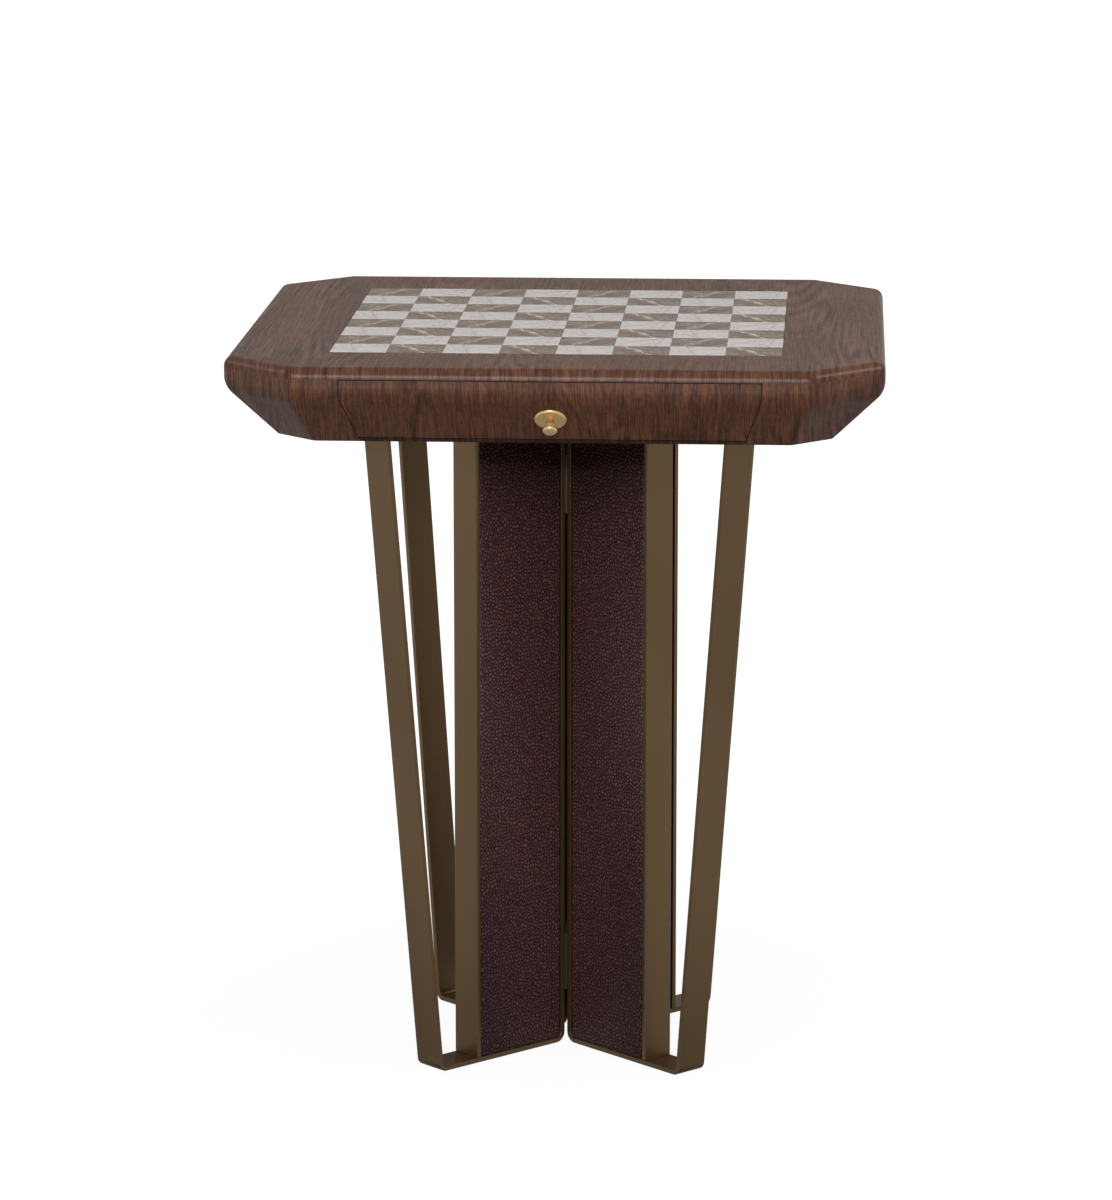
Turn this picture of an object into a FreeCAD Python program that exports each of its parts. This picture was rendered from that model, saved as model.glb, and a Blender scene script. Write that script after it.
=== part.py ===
import FreeCAD, Part
import os
import Sketcher

# Chess table with an inlaid board, in millimetres.
# Origin on the floor under the middle of the top, +Z up, the drawer faces -Y.

DRIVING_SIZES = (
    # overall form of the case
    ("overall_height", 750.0, "floor to playing surface"),
    ("border_width", 100.0, "board to the side of the case"),
    ("corner_cut", 69.0, "length cut from each side at a corner"),
    ("top_thickness", 11.0, "panel that frames the board"),
    ("edge_round", 10.0, "rounded upper edge of the panel"),
    ("band_depth", 29.0, "playing surface to the start of the slope"),
    ("slope_inset", 50.0, "how far the slope runs inwards"),
    ("slope_drop", 50.0, "how far the slope runs down"),
    ("bend_round", 24.0, "soft turn between band and slope"),
    ("arris_round", 12.0, "soft upright edges of the octagon"),
    ("rim_width", 12.0, "flat underside edge of the case members"),
    ("rim_round", 2.0, "rounding of the lowest outer edge"),
    # board
    ("square_size", 55.0, "pitch of the board's squares"),
    ("tile_thickness", 8.0, "stone tile"),
    ("tile_joint", 0.2, "hairline between two tiles"),
    ("board_clearance", 0.3, "round the whole board"),
    ("bed_thickness", 10.0, "board that carries the tiles"),
    ("bed_border", 20.0, "part of the bed that laps under the panel"),
    # case inside
    ("floor_thickness", 9.0, "bottom panel of the case"),
    ("carrier_width", 18.0, "rail that carries a runner"),
    ("lipping_height", 4.0, "wooden strip under the drawer front"),
    # drawer front and its seam
    ("seam_gap", 0.8, "gap all round the drawer front"),
    ("cheek_width", 49.0, "fixed part of the front beside the drawer, at the band"),
    ("seam_taper", 17.0, "how far each side seam runs inwards down the slope"),
    ("seam_round", 40.0, "curve of the side seam"),
    ("back_gap", 0.5, "drawer front to the bottom panel"),
    # drawer box
    ("drawer_side_room", 28.0, "side seam to the drawer box"),
    ("drawer_rear_room", 96.5, "behind the drawer box"),
    ("drawer_height", 42.0, "drawer walls"),
    ("drawer_lift", 4.0, "drawer walls above the bottom panel"),
    ("drawer_wall", 12.0, "wall thickness"),
    ("bottom_thickness", 5.0, "drawer bottom"),
    ("bottom_lift", 6.0, "drawer bottom above the lower edge of the walls"),
    ("groove_depth", 5.0, "groove that holds the drawer bottom"),
    ("lining_thickness", 1.5, "felt on the drawer bottom"),
    # telescopic runners
    ("runner_width", 12.7, "drawer wall to carrier"),
    ("runner_height", 30.0, "case member"),
    ("runner_end_gap", 18.0, "back of the runner to the back of the drawer box"),
    ("runner_gauge", 1.2, "sheet thickness"),
    ("runner_play", 0.4, "running clearance between members"),
    ("runner_setback", 2.0, "runner behind the back of the drawer front"),
    ("runner_lift", 21.0, "middle of the runner above the lower edge of the walls"),
    # knob
    ("knob_drop", 31.0, "down the slope from the bend to the knob's axis"),
    ("rose_diameter", 31.0, "disc behind the knob"),
    ("rose_thickness", 2.2, "disc behind the knob"),
    ("rose_rim", 1.4, "bevel round the disc's face"),
    ("neck_diameter", 7.5, "slim neck between disc and head"),
    ("cap_diameter", 14.2, "round head of the knob"),
    ("cap_bevel", 0.8, "softened edges of the head"),
    ("cap_back", 7.9, "slope to the back of the head"),
    ("knob_reach", 15.7, "slope to the flat end of the head"),
    ("stud_diameter", 4.0, "threaded stud"),
    ("stud_in_wood", 20.0, "stud inside the drawer front"),
    ("stud_in_knob", 10.0, "stud inside the knob"),
    # base: four frames bent from flat bar
    ("bar_width", 35.0, "flat bar"),
    ("bar_thickness", 5.0, "flat bar"),
    ("well_reach", 19.2, "middle of the table to the inner bars"),
    ("upright_reach", 138.5, "middle of the table to the outside of the upright"),
    ("foot_reach", 188.5, "middle of the table to the outside of the foot"),
    ("leg_setback", 86.8, "corner member to the outside of the leg's top"),
    ("heel_round", 11.0, "outside of the bend at the middle of the table"),
    ("toe_round", 9.0, "outside of the bend at the foot"),
    # leather panels
    ("panel_thickness", 34.0, "leather face to leather face"),
    ("leather_thickness", 1.5, "cover"),
    ("panel_clearance", 0.3, "round the panel"),
    # blocks that join the frames
    ("block_height", 60.0, "joining block"),
    ("block_inset", 55.0, "floor, or underside of the case, to the nearer block"),
    ("block_chamfer", 4.0, "corner cut that keeps the slots clear"),
    # screws
    ("screw_diameter", 4.0, "shank"),
    ("head_diameter", 7.6, "countersunk head"),
    ("head_depth", 1.8, "countersunk head"),
    ("head_sink", 0.3, "head below the surface"),
    ("screw_play", 0.1, "screw to its hole, all round"),
    ("bed_screw", 14.0, "bed to top panel"),
    ("bed_screw_pitch", 220.0, "between the two along each side of the bed"),
    ("floor_screw", 32.0, "bottom panel to carrier"),
    ("floor_screw_pitch", 225.0, "along each carrier"),
    ("base_screw", 12.0, "frame to bottom panel"),
    ("base_screw_inset", 30.0, "from the upright and from the leg"),
    ("block_screw", 16.0, "frame to joining block"),
    ("panel_screw", 28.0, "foot bar to panel core"),
    ("panel_screw_inset", 25.0, "from the panel's edges"),
    ("front_screw", 30.0, "drawer box to drawer front"),
    ("front_screw_pitch", 88.0, "along the drawer front"),
    ("front_screw_lift", 5.0, "above the middle of the runners"),
    ("runner_screw", 9.0, "runner to wood"),
    ("runner_screw_inset", 40.0, "from the ends of the runner"),
)

# Places and sizes that follow from the driving ones, as formulas for the expression engine.
SQUARES = 8  # along each side of a chessboard
HALF_BOARD = f"({SQUARES} / 2 * sizes.square_size)"
HALF = f"({HALF_BOARD} + sizes.border_width)"
TOP = "sizes.overall_height"
SEAT = "(sizes.overall_height - sizes.top_thickness)"
BEND = "(sizes.overall_height - sizes.band_depth)"
UNDER = f"({BEND} - sizes.slope_drop)"
INNER = f"({HALF} - sizes.slope_inset - sizes.rim_width)"
MITRE = "(sqrt(2) - 1)"
HALF_SIDE = f"({HALF} - sizes.corner_cut)"
FACET_REACH = f"(({HALF} + {HALF_SIDE}) / sqrt(2))"
FACET_HALF = "(sizes.corner_cut / sqrt(2))"
WEDGE = "(sizes.slope_inset + sizes.rim_width)"
SHOULDER = f"({FACET_REACH} - {WEDGE} - sizes.leg_setback)"
INNER_SIDE = f"({HALF_SIDE} - {WEDGE} * {MITRE})"
FLOOR_TOP = f"({UNDER} + sizes.floor_thickness)"
OPENING = f"({HALF_BOARD} + sizes.board_clearance)"
BED_TOP = f"({TOP} - sizes.tile_thickness)"
BED_UNDER = f"({SEAT} - sizes.bed_thickness)"
HALF_BED = f"({HALF_BOARD} + sizes.bed_border)"
FRONT_BACK = f"({INNER} + sizes.back_gap)"
WALL_LOW = f"({FLOOR_TOP} + sizes.drawer_lift)"
HALF_SEAM = f"({HALF_SIDE} - sizes.cheek_width)"
HALF_DRAWER = f"({HALF_SEAM} - sizes.drawer_side_room)"
DRAWER_REAR = f"({INNER} - sizes.drawer_rear_room)"
BOTTOM_LOW = f"({WALL_LOW} + sizes.bottom_lift)"
BOTTOM_TOP = f"({BOTTOM_LOW} + sizes.bottom_thickness)"
RUNNER_MID = f"({WALL_LOW} + sizes.runner_lift)"
RUNNER_FRONT = f"({FRONT_BACK} - sizes.runner_setback)"
RUNNER_BACK = f"({DRAWER_REAR} - sizes.runner_end_gap)"
CARRIER_FACE = f"({HALF_DRAWER} + sizes.runner_width)"
BLOCKS = (
    ("low", "sizes.block_inset"),
    ("high", f"({UNDER} - sizes.block_inset - sizes.block_height)"),
)
PANEL_INNER = "(sizes.well_reach + sizes.bar_thickness + sizes.panel_clearance)"
PANEL_OUTER = "(sizes.upright_reach - sizes.bar_thickness - sizes.panel_clearance)"
PANEL_LOW = "(sizes.bar_thickness + sizes.panel_clearance)"
PANEL_HIGH = f"({UNDER} - sizes.bar_thickness - sizes.panel_clearance)"

FRONT_SCREWS = 4  # that hold the drawer front
SPARE = 2  # how far a cutting tool runs past what it cuts
TOUCH = 1e-3  # two points this close are one

EIGHTH_TURN = 45  # degrees, from one side of the octagon to the next
WINGS = (("front_left", 5), ("front_right", 7), ("back_right", 1), ("back_left", 3))
SIDES = (("left", -1), ("right", 1))

document = FreeCAD.newDocument("chess_table")


def fill_sheet():
    """Write the driving sizes into the spreadsheet, one row each."""
    table = document.addObject("Spreadsheet::Sheet", "sizes")
    for row, (alias, value, note) in enumerate(DRIVING_SIZES, start=1):
        table.set(f"A{row}", alias.replace("_", " "))
        table.set(f"B{row}", str(value))
        table.setAlias(f"B{row}", alias)
        table.set(f"C{row}", note)
    document.recompute()
    return table


sheet = fill_sheet()
EASTWARDS = FreeCAD.Vector(1, 0, 0)
NORTHWARDS = FreeCAD.Vector(0, 1, 0)
UPWARDS = FreeCAD.Vector(0, 0, 1)
reckoner = document.addObject("App::FeaturePython", "reckoner")
reckoner.addProperty("App::PropertyFloat", "answer")
nodes = {}


def number(formula):
    """The value of a formula, worked out from the sheet."""
    reckoner.setExpression("answer", str(formula))
    reckoner.recompute()
    return reckoner.answer


def spot(east, north, up):
    """A point whose coordinates are formulas."""
    return FreeCAD.Vector(number(east), number(north), number(up))


def bind(item, **formulas):
    """Bind properties of an object to formulas."""
    for name, formula in formulas.items():
        item.setExpression(name, str(formula))


def move_to(item, east="0", north="0", up="0"):
    """Bind an object's position to formulas."""
    item.setExpression(".Placement.Base.x", str(east))
    item.setExpression(".Placement.Base.y", str(north))
    item.setExpression(".Placement.Base.z", str(up))


def turn(item, eighths):
    """Turn an object about the table's upright axis."""
    item.Placement = FreeCAD.Placement(
        item.Placement.Base, FreeCAD.Rotation(UPWARDS, eighths * EIGHTH_TURN))


def keep(label, item):
    """Register an object as a finished sub-part."""
    item.Label = label
    nodes[label] = item
    return item


# ---------------------------------------------------------------- sketches and features


def new_body(name):
    return document.addObject("PartDesign::Body", name)


def sketch(body, role, name, lift="0"):
    """A sketch on one of the body's own origin planes, lifted along the plane's normal."""
    plane = [feature for feature in body.Origin.OriginFeatures if feature.Role == role][0]
    drawing = body.newObject("Sketcher::SketchObject", name)
    drawing.AttachmentSupport = (plane, [""])
    drawing.MapMode = "FlatFace"
    drawing.setExpression("AttachmentOffset.Base.z", str(lift))
    return drawing


def outline(drawing, corners):
    """Draw a closed outline whose corners are tied to pairs of formulas."""
    first = drawing.GeometryCount
    spots = [FreeCAD.Vector(number(across), number(along), 0) for across, along in corners]
    count = len(spots)
    for index, spot in enumerate(spots):
        drawing.addGeometry(Part.LineSegment(spot, spots[(index + 1) % count]), False)
    for index in range(count):
        following = first + (index + 1) % count
        drawing.addConstraint(Sketcher.Constraint("Coincident", first + index, 2, following, 1))
    for index, (across, along) in enumerate(corners):
        line = first + index
        for kind, formula, value in (
            ("DistanceX", across, spots[index].x),
            ("DistanceY", along, spots[index].y),
        ):
            place = drawing.addConstraint(Sketcher.Constraint(kind, -1, 1, line, 1, value))
            drawing.setExpression(f"Constraints[{place}]", formula)
    return drawing


def pad(body, drawing, length, symmetric=False, backwards=False):
    feature = body.newObject("PartDesign::Pad", drawing.Name + "_pad")
    feature.Profile = drawing
    feature.SideType = "Symmetric" if symmetric else "One side"
    feature.Reversed = backwards
    feature.setExpression("Length", str(length))
    document.recompute()
    return feature


def pocket(body, drawing, length=None, symmetric=False, backwards=False):
    """Cut a sketch out of the body, and make sure that something was cut."""
    before = body.Shape.Volume
    feature = body.newObject("PartDesign::Pocket", drawing.Name + "_pocket")
    feature.Profile = drawing
    feature.SideType = "Symmetric" if symmetric else "One side"
    feature.Reversed = backwards
    if length is None:
        feature.Type = "ThroughAll"
    else:
        feature.setExpression("Length", str(length))
    document.recompute()
    if not feature.Shape.Volume < before:
        raise RuntimeError(drawing.Name + " cuts nothing")
    return feature


def edges_through(shape, spots, direction):
    """Names of the straight edges that pass through given points along a direction."""
    found = []
    for index, edge in enumerate(shape.Edges, start=1):
        if edge.Curve.TypeId != "Part::GeomLine":
            continue
        if edge.Curve.Direction.cross(direction).Length > TOUCH:
            continue
        start = edge.Vertexes[0].Point
        for spot in spots:
            if (spot - start).cross(direction).Length < TOUCH:
                found.append(f"Edge{index}")
    if len(found) < len(spots):
        raise RuntimeError("an edge to be rounded was not found")
    return sorted(set(found))


def edges_at(shape, level):
    """Names of the edges that lie at one height."""
    height = number(level)
    return [f"Edge{index}" for index, edge in enumerate(shape.Edges, start=1)
            if all(abs(vertex.Z - height) < TOUCH for vertex in edge.Vertexes)]


def edges_between(shape, low, high):
    """Names of the edges that climb somewhere between two heights."""
    bottom = number(low) - TOUCH
    top = number(high) + TOUCH
    found = []
    for index, edge in enumerate(shape.Edges, start=1):
        heights = sorted(vertex.Z for vertex in edge.Vertexes)
        if bottom < heights[0] < heights[-1] - TOUCH and heights[-1] < top:
            found.append(f"Edge{index}")
    return found


def round_edges(body, base, names, radius):
    feature = body.newObject("PartDesign::Fillet", body.Name + "_round")
    feature.Base = (base, names)
    feature.setExpression("Radius", str(radius))
    document.recompute()
    return feature


def box(name, low, high):
    """A box between two corners given as formulas."""
    item = document.addObject("Part::Box", name)
    for side, start, end in zip(("Length", "Width", "Height"), low, high):
        item.setExpression(side, f"({end}) - ({start})")
    move_to(item, *low)
    return item


def cut(name, base, tool):
    item = document.addObject("Part::Cut", name)
    item.Base = base
    item.Tool = tool
    return item


def shared(name, base, tool):
    """What two objects have in common."""
    item = document.addObject("Part::Common", name)
    item.Base = base
    item.Tool = tool
    return item


def fused(name, solids):
    """One solid from several."""
    item = document.addObject("Part::MultiFuse", name)
    item.Shapes = solids
    item.Refine = True
    return item


# ---------------------------------------------------------------- screws


def screw_solid(point, direction, length, play=0.0):
    """One countersunk screw: its head starts at the point and it runs along the direction.

    With some play it is the hole for that screw, open as far as the surface.
    """
    shank = sheet.get("screw_diameter") / 2 + play
    head = sheet.get("head_diameter") / 2 + play
    depth = sheet.get("head_depth")
    sink = sheet.get("head_sink")
    start = point + direction * sink
    body = Part.makeCylinder(shank, length + play, start, direction)
    body = body.fuse(Part.makeCone(head, shank, depth, start, direction))
    if play:
        body = body.fuse(Part.makeCylinder(head, sink * 2, point - direction * sink, direction))
    return body.removeSplitter()


def screws(label, spots, length):
    """A group of like screws as one sub-part, and the tool that cuts their holes.

    Each spot is the point where a head starts and the way its screw runs.
    """
    size = sheet.get(length)
    play = sheet.get("screw_play")
    group = document.addObject("Part::Feature", label)
    group.Shape = Part.makeCompound([screw_solid(*spot, size) for spot in spots])
    keep(label, group)
    tool = document.addObject("Part::Feature", label + "_holes")
    tool.Shape = Part.makeCompound([screw_solid(*spot, size, play) for spot in spots])
    return tool


def joined(name, tools):
    """One cutting tool from several."""
    item = document.addObject("Part::Compound", name)
    item.Links = tools
    return item


# ---------------------------------------------------------------- top


def octagon(half, half_side):
    """Corners of a square with its corners cut off, from the right end of the front side."""
    quarter = ((half_side, half), (half, half_side))
    corners = []
    for east, north, order in ((1, -1, 1), (1, 1, -1), (-1, 1, 1), (-1, -1, -1)):
        for across, along in quarter[::order]:
            corners.append((f"{east} * {across}", f"{north} * {along}"))
    return corners


def make_case_blank():
    """The outer form of top and case, from which the veneered members are cut.

    Four long bars with the bevelled profile cross each other; what they share is the octagon.
    """
    bars = []
    for eighths, reach in enumerate((HALF, FACET_REACH, HALF, FACET_REACH)):
        bar = new_body(f"case_bar_{eighths}")
        profile = sketch(bar, "YZ_Plane", f"case_bar_{eighths}_profile")
        outline(profile, [
            (f"-{reach}", TOP),
            (f"-{reach}", BEND),
            (f"-{reach} + sizes.slope_inset", UNDER),
            (f"{reach} - sizes.slope_inset", UNDER),
            (reach, BEND),
            (reach, TOP),
        ])
        pad(bar, profile, f"4 * {HALF}", symmetric=True)
        bends = [spot("0", f"{side} * {reach}", BEND) for _, side in SIDES]
        round_along(bar, bends, EASTWARDS, "sizes.bend_round")
        turn(bar, eighths)
        bars.append(bar)
    octagonal = document.addObject("Part::MultiCommon", "case_octagon")
    octagonal.Shapes = bars
    body = new_body("case_blank")
    body.BaseFeature = octagonal
    document.recompute()
    round_edges(body, body.Tip, edges_between(body.Tip.Shape, UNDER, TOP), "sizes.arris_round")
    round_edges(body, body.Tip, edges_at(body.Tip.Shape, TOP), "sizes.edge_round")
    round_edges(body, body.Tip, edges_at(body.Tip.Shape, UNDER), "sizes.rim_round")
    return body


def make_top_panel(blank):
    """Upper slice of the blank, with the opening for the board."""
    wide = f"({HALF} + {SPARE})"
    slab = box("top_slab", (f"-{wide}", f"-{wide}", SEAT), (wide, wide, f"{TOP} + {SPARE}"))
    opening = box("board_opening", (f"-{OPENING}", f"-{OPENING}", f"{SEAT} - {SPARE}"),
                  (OPENING, OPENING, f"{TOP} + {SPARE}"))
    return cut("top_panel_opened", shared("top_slice", blank, slab), opening)


def make_inlay_bed():
    """The bed laps under the top panel and its raised field fills the bottom of the opening."""
    lap = box("bed_lap", (f"-{HALF_BED}", f"-{HALF_BED}", BED_UNDER), (HALF_BED, HALF_BED, SEAT))
    field = box("bed_field", (f"-{HALF_BOARD}", f"-{HALF_BOARD}", BED_UNDER),
                (HALF_BOARD, HALF_BOARD, BED_TOP))
    bed = document.addObject("Part::Fuse", "bed_blank")
    bed.Base = lap
    bed.Tool = field
    bed.Refine = True
    return bed


def make_tiles():
    """Two groups of stone tiles; the square at the front left is a light one."""
    groups = {"light_squares": [], "dark_squares": []}
    side = "sizes.square_size - sizes.tile_joint"
    start = f"sizes.tile_joint / 2 - {HALF_BOARD}"
    for column in range(SQUARES):
        for row in range(SQUARES):
            group = "dark_squares" if (column + row) % 2 else "light_squares"
            west = f"{column} * sizes.square_size + {start}"
            south = f"{row} * sizes.square_size + {start}"
            tile = box(f"tile_{column}_{row}", (west, south, BED_TOP),
                       (f"{west} + {side}", f"{south} + {side}", TOP))
            groups[group].append(tile)
    for label, tiles in groups.items():
        keep(label, joined(label, tiles))


# ---------------------------------------------------------------- case


def block_section(reach, low, back, high):
    """Corners of a member's block in the Y-Z plane, proud of the blank on its outer side."""
    face = f"-{reach} - {SPARE}"
    return [(face, high), (face, low), (back, low), (back, high)]


def mitre(body, reach, half, side, name):
    """Cut one end of a case member to half the turn of the octagon."""
    depth = f"({WEDGE} + {SPARE})"
    proud = f"(2 * {SPARE})"
    beyond = f"{side} * ({half} + {WEDGE})"
    wedge = sketch(body, "XY_Plane", name)
    outline(wedge, [
        (f"{side} * ({half} + {proud} * {MITRE})", f"-{reach} - {proud}"),
        (f"{side} * ({half} - {depth} * {MITRE})", f"-{reach} + {depth}"),
        (beyond, f"-{reach} + {depth}"),
        (beyond, f"-{reach} - {proud}"),
    ])
    return pocket(body, wedge, backwards=True)


def round_along(body, spots, direction, radius):
    """Round the straight edges of a body that pass through the given points."""
    return round_edges(body, body.Tip, edges_through(body.Tip.Shape, spots, direction), radius)


def make_case_member(blank, label, reach, half, eighths):
    """One straight side or cut corner of the case, mitred at both ends."""
    body = new_body(label + "_block")
    profile = sketch(body, "YZ_Plane", label + "_profile")
    outline(profile, block_section(reach, UNDER, f"-{reach} + {WEDGE}", SEAT))
    pad(body, profile, f"2 * ({half} + {SPARE})", symmetric=True)
    for name, side in SIDES:
        mitre(body, reach, half, side, f"{label}_mitre_{name}")
    turn(body, eighths)
    return keep(label, shared(label + "_shaped", blank, body))


def make_case_members(blank):
    for place, eighths in (("right", 2), ("back", 4), ("left", 6)):
        make_case_member(blank, "apron_" + place, HALF, HALF_SIDE, eighths)
    corners = (("front_right", 1), ("back_right", 3), ("back_left", 5), ("front_left", 7))
    for place, eighths in corners:
        make_case_member(blank, "corner_" + place, FACET_REACH, FACET_HALF, eighths)


def seam_side(side, offset):
    """Three points of a side seam, top, bend and foot, moved outwards by an offset."""
    upper = f"({HALF_SEAM} + {offset})"
    taper = f"sizes.seam_taper * (sizes.slope_drop + {SPARE}) / sizes.slope_drop"
    return [
        (f"{side} * {upper}", f"{SEAT} + {SPARE}"),
        (f"{side} * {upper}", BEND),
        (f"{side} * ({upper} - {taper})", f"{UNDER} - {SPARE}"),
    ]


def curve_seam(body, sides, offset, radius):
    """Round the corner of a side seam where it starts to run inwards."""
    spots = [spot(f"{side} * ({HALF_SEAM} + {offset})", "0", BEND) for side in sides]
    round_along(body, spots, NORTHWARDS, radius)


def make_cheek(blank, name, side):
    """Fixed part of the front between the drawer's seam and the cut corner."""
    label = "cheek_" + name
    gap = "sizes.seam_gap / 2"
    body = new_body(label + "_block")
    profile = sketch(body, "YZ_Plane", label + "_profile")
    outline(profile, block_section(HALF, UNDER, f"-{HALF} + {WEDGE}", SEAT))
    pad(body, profile, f"2 * ({HALF_SIDE} + {SPARE})", symmetric=True)
    mitre(body, HALF, HALF_SIDE, side, label + "_mitre")
    away = f"{-side} * ({HALF_SIDE} + 2 * {SPARE})"
    opening = sketch(body, "XZ_Plane", label + "_seam")
    outline(opening, seam_side(side, gap)
            + [(away, f"{UNDER} - {SPARE}"), (away, f"{SEAT} + {SPARE}")])
    pocket(body, opening, backwards=True)
    curve_seam(body, [side], gap, f"sizes.seam_round + {gap}")
    return keep(label, shared(label + "_shaped", blank, body))


def make_front_lipping(blank):
    """Slim strip under the drawer front, ending at both cheeks."""
    body = new_body("front_lipping_block")
    profile = sketch(body, "YZ_Plane", "lipping_profile")
    outline(profile, block_section(HALF, UNDER, f"-{INNER}", f"{UNDER} + sizes.lipping_height"))
    pad(body, profile, f"2 * {HALF_SEAM}", symmetric=True)
    for name, side in SIDES:
        trim_to_seam(body, side, "sizes.seam_gap / 2", "lipping_end_" + name)
    return keep("front_lipping", shared("lipping_shaped", blank, body))


def trim_to_seam(body, side, offset, name):
    """Cut off what lies outside a side seam, below the bend."""
    outside = f"{side} * ({HALF_SEAM} + {SPARE})"
    end = sketch(body, "XZ_Plane", name)
    outline(end, seam_side(side, offset)[1:] + [(outside, f"{UNDER} - {SPARE}"), (outside, BEND)])
    return pocket(body, end, backwards=True)


def make_drawer_front(blank):
    """Profiled front whose ends follow the seam's curve and taper."""
    gap = "sizes.seam_gap / 2"
    low = f"({UNDER} + sizes.lipping_height + sizes.seam_gap)"
    body = new_body("drawer_front_block")
    profile = sketch(body, "YZ_Plane", "drawer_front_profile")
    outline(profile, block_section(HALF, low, f"-{FRONT_BACK}", f"{SEAT} - sizes.seam_gap"))
    pad(body, profile, f"2 * {HALF_SEAM} - sizes.seam_gap", symmetric=True)
    for name, side in SIDES:
        trim_to_seam(body, side, f"-{gap}", "drawer_front_end_" + name)
    curve_seam(body, (-1, 1), f"-{gap}", f"sizes.seam_round - {gap}")
    return shared("drawer_front_shaped", blank, body)


def make_case_floor():
    body = new_body("case_floor_body")
    drawing = sketch(body, "XY_Plane", "floor_outline", UNDER)
    outline(drawing, octagon(INNER, INNER_SIDE))
    pad(body, drawing, "sizes.floor_thickness")
    return body


def sided(side, near, far):
    """A span beside the middle, lower end first, for the left or the right side."""
    return (near, far) if side > 0 else (f"-({far})", f"-({near})")


def make_carrier(name, side):
    low, high = sided(side, CARRIER_FACE, f"{CARRIER_FACE} + sizes.carrier_width")
    return box(f"carrier_{name}_blank", (low, f"-{INNER}", FLOOR_TOP), (high, INNER, BED_UNDER))


# ---------------------------------------------------------------- drawer


def make_drawer_box():
    """Walls grooved for the bottom, and the felt that lies on it."""
    inside = f"({HALF_DRAWER} - sizes.drawer_wall)"
    front = f"-{FRONT_BACK}"
    wall_top = f"({WALL_LOW} + sizes.drawer_height)"
    held = f"({inside} + sizes.groove_depth)"
    near = f"({front} + sizes.drawer_wall)"
    far = f"({DRAWER_REAR} - sizes.drawer_wall)"
    bottom = box("bottom_board", (f"-{held}", f"{near} - sizes.groove_depth", BOTTOM_LOW),
                 (held, f"{far} + sizes.groove_depth", BOTTOM_TOP))
    keep("drawer_bottom", bottom)
    walls = {
        "drawer_inner_front": ((f"-{inside}", front), (inside, near)),
        "drawer_back": ((f"-{inside}", far), (inside, DRAWER_REAR)),
    }
    for name, side in SIDES:
        low, high = sided(side, inside, HALF_DRAWER)
        walls["drawer_side_" + name] = ((low, front), (high, DRAWER_REAR))
    grooved = {}
    for label, (low, high) in walls.items():
        blank = box(label + "_blank", (*low, WALL_LOW), (*high, wall_top))
        grooved[label] = cut(label + "_grooved", blank, bottom)
    keep("drawer_back", grooved.pop("drawer_back"))
    felt = box("felt", (f"-{inside}", near, BOTTOM_TOP),
               (inside, far, f"{BOTTOM_TOP} + sizes.lining_thickness"))
    keep("drawer_lining", felt)
    return grooved


def channel(name, side, near, far, half_height, open_side):
    """A runner member: a folded sheet with its web on one side and two flanges."""
    front = f"-{RUNNER_FRONT}"
    low, high = sided(side, near, far)
    whole = box(name + "_stock", (low, front, f"{RUNNER_MID} - {half_height}"),
                (high, RUNNER_BACK, f"{RUNNER_MID} + {half_height}"))
    if open_side == "outside":
        hollow = sided(side, f"{near} + sizes.runner_gauge", f"{far} + {SPARE}")
    else:
        hollow = sided(side, f"{near} - {SPARE}", f"{far} - sizes.runner_gauge")
    room = f"({half_height} - sizes.runner_gauge)"
    tool = box(name + "_hollow", (hollow[0], f"{front} - {SPARE}", f"{RUNNER_MID} - {room}"),
               (hollow[1], f"{RUNNER_BACK} + {SPARE}", f"{RUNNER_MID} + {room}"))
    return cut(name + "_folded", whole, tool)


def make_runner(name, side):
    """Three nested members: fixed to the carrier, running free, fixed to the drawer."""
    step = "(sizes.runner_gauge + sizes.runner_play)"
    half = "(sizes.runner_height / 2)"
    case = channel(f"runner_case_{name}", side, f"{HALF_DRAWER} + 2 * {step}", CARRIER_FACE,
                   half, "inside")
    middle = channel(f"runner_middle_{name}", side, f"{HALF_DRAWER} + {step}",
                     f"{CARRIER_FACE} - {step}", f"({half} - {step})", "inside")
    drawer = channel(f"runner_drawer_{name}", side, HALF_DRAWER,
                     f"{CARRIER_FACE} - 2 * {step}", f"({half} - 2 * {step})", "outside")
    keep(f"runner_middle_{name}", middle)
    return case, drawer


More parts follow.
